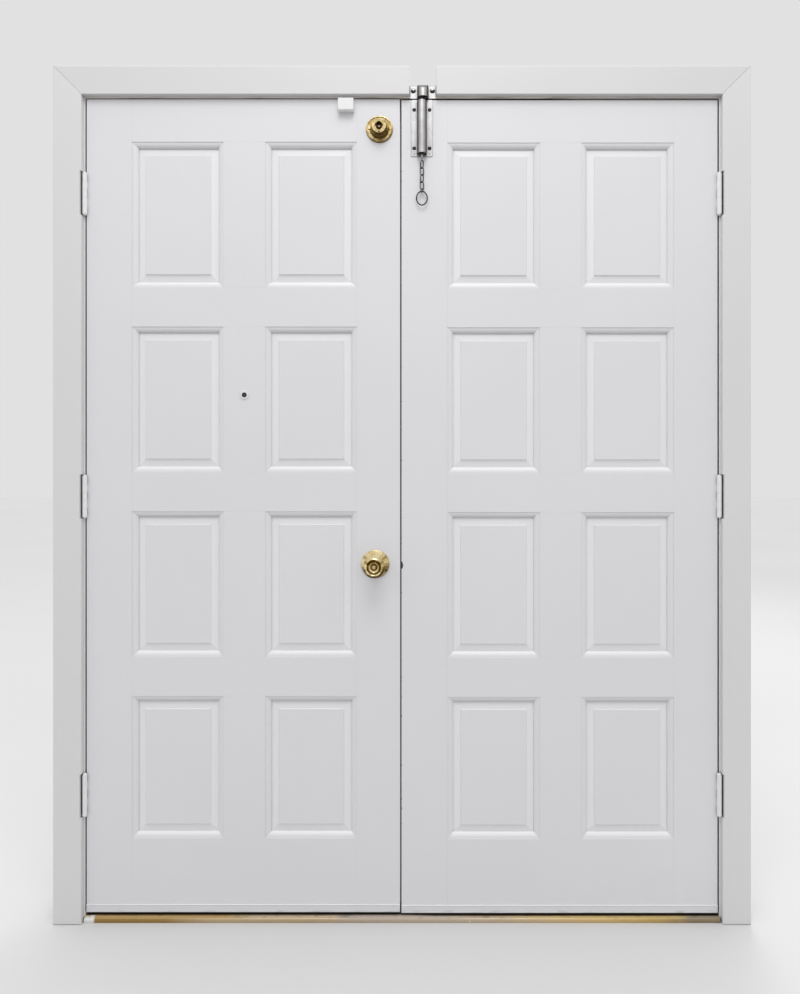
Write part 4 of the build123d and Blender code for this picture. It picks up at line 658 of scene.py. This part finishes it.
def screw_set(name, places, normal, radius, body, surface):
    """A group of like screws as one piece, each turned a little further than the last."""
    further = 0.7
    mesh = bmesh.new()
    for number, place in enumerate(places):
        screw_head(mesh, Vector(place), normal, radius, further * number)
    bmesh.ops.recalc_face_normals(mesh, faces=mesh.faces)
    data = bpy.data.meshes.new(name)
    mesh.to_mesh(data)
    mesh.free()
    data.materials.append(surface.material)
    piece = bpy.data.objects.new(name, data)
    bpy.context.scene.collection.objects.link(piece)
    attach(piece, body)


hinge_levels = (1.815, 1.061, 0.317)
hinge_holes = ((0.012, 0.037), (0.022, 0.013), (0.022, -0.013), (0.012, -0.037))
hinge_screw_radius = 0.0042
rightward, leftward = Vector((1, 0, 0)), Vector((-1, 0, 0))
painted_screw = painted("Paint_hinge_screws", (0.76, 0.76, 0.77), along_z, softness=0.0003)
for plate, body, face, normal in (
    ("left_jamb", "frame", -0.79225, rightward),
    ("right_jamb", "frame", 0.79225, leftward),
    ("left_leaf", "left_leaf", -0.78875, leftward),
    ("right_leaf", "right_leaf", 0.78825, rightward),
):
    places = [(face, y, level + z) for level in hinge_levels for y, z in hinge_holes]
    screw_set(f"{plate}_hinge_screws", places, normal, hinge_screw_radius, body, painted_screw)

lock_levels = (lock_height, 1.9775)
lock_hole_offset = 0.022
lock_screw_radius = 0.0034
middle_of_thickness = 0.02225
for name, body, face, normal in (
    ("faceplate_screws", "left_leaf", -0.0069, Vector((44.5, 2.3, 0))),
    ("strike_screws", "right_leaf", -0.0006, Vector((-44.5, 2.3, 0))),
):
    heights = [level + z for level in lock_levels for z in (lock_hole_offset, -lock_hole_offset)]
    places = [(face, middle_of_thickness, height) for height in heights]
    screw_set(name, places, normal.normalized(), lock_screw_radius, body, brass_screw)


def seen_directly(tree):
    """1 for rays from the camera and those that metal and glass send on, 0 for light on the object."""
    rays = tree.nodes.new("ShaderNodeLightPath")
    seen = rays.outputs["Is Camera Ray"]
    for output in ("Is Glossy Ray", "Is Transmission Ray"):
        either = tree.nodes.new("ShaderNodeMath")
        either.operation = "MAXIMUM"
        tree.links.new(seen, either.inputs[0])
        tree.links.new(rays.outputs[output], either.inputs[1])
        seen = either.outputs[0]
    return seen


def floor():
    """A plain pale floor under the threshold, which throws back no more light than a wooden one."""
    reach, drop = 14.0, 0.0005
    wooden = (0.45, 0.44, 0.43)
    s = Surface("Floor", 0.7)
    pale = s.ramp(s.noise(0.8, 3.0), (0.3, (0.65, 0.647, 0.645)), (0.7, (0.67, 0.667, 0.665)))
    s.finish(s.mix(seen_directly(s.tree), wooden, pale), s.noise(60.0), 0.0002)
    data = bpy.data.meshes.new("floor")
    corners = [(-reach, -reach, 0), (reach, -reach, 0), (reach, reach, 0), (-reach, reach, 0)]
    data.from_pydata(corners, [], [(0, 1, 2, 3)])
    data.materials.append(s.material)
    plane = bpy.data.objects.new("floor", data)
    plane.location = (0, 0, -drop)
    bpy.context.scene.collection.objects.link(plane)


def lamp(name, place, target, size, power):
    """A soft square lamp that looks at a point."""
    data = bpy.data.lights.new(name, "AREA")
    data.size = size
    data.energy = power
    light = bpy.data.objects.new(name, data)
    light.location = place
    light.rotation_mode = "QUATERNION"
    light.rotation_quaternion = (Vector(target) - Vector(place)).to_track_quat("-Z", "Y")
    bpy.context.scene.collection.objects.link(light)


def world(horizon, zenith, background):
    """Soft fill, brighter overhead, and a pale background for the camera, metal and glass."""
    sky = bpy.data.worlds.new("World")
    sky.use_nodes = True
    bpy.context.scene.world = sky
    tree = sky.node_tree
    direction = tree.nodes.new("ShaderNodeTexCoord").outputs["Generated"]
    height = tree.nodes.new("ShaderNodeSeparateXYZ")
    tree.links.new(direction, height.inputs[0])

    def choice(factor, first, second):
        made = tree.nodes.new("ShaderNodeMix")
        made.data_type = "RGBA"
        tree.links.new(factor, made.inputs[0])
        for socket, colour in ((made.inputs[6], first), (made.inputs[7], second)):
            if isinstance(colour, tuple):
                socket.default_value = (*colour, 1.0)
            else:
                tree.links.new(colour, socket)
        return made.outputs[2]

    fill = choice(height.outputs["Z"], horizon, zenith)
    shown = choice(seen_directly(tree), fill, background)
    tree.links.new(shown, tree.nodes["Background"].inputs["Color"])


def camera():
    """The photograph's view: level, a little right of the middle, at 1.85 m."""
    eye = (0.0595, -1.85, 1.1965)
    sensor_width, focal_length = 36.0, 26.8
    shift_right, shift_up = -0.02616, -0.05533
    data = bpy.data.cameras.new("Camera")
    data.sensor_width = sensor_width
    data.lens = focal_length
    data.shift_x = shift_right
    data.shift_y = shift_up
    view = bpy.data.objects.new("Camera", data)
    view.location = eye
    view.rotation_euler = (math.radians(90), 0, 0)
    bpy.context.scene.collection.objects.link(view)
    bpy.context.scene.camera = view


floor()
lamp("Key", place=(0.05, -1.4, 3.5), target=(0.0, 0.0, 1.0), size=1.0, power=18.0)
lamp("Back", place=(1.6, 3.2, 3.4), target=(0.0, 0.1, 1.0), size=2.0, power=36.0)
world(horizon=(0.56, 0.56, 0.565), zenith=(1.42, 1.42, 1.43), background=(0.755, 0.755, 0.76))
camera()
bpy.context.scene.view_settings.view_transform = "Standard"
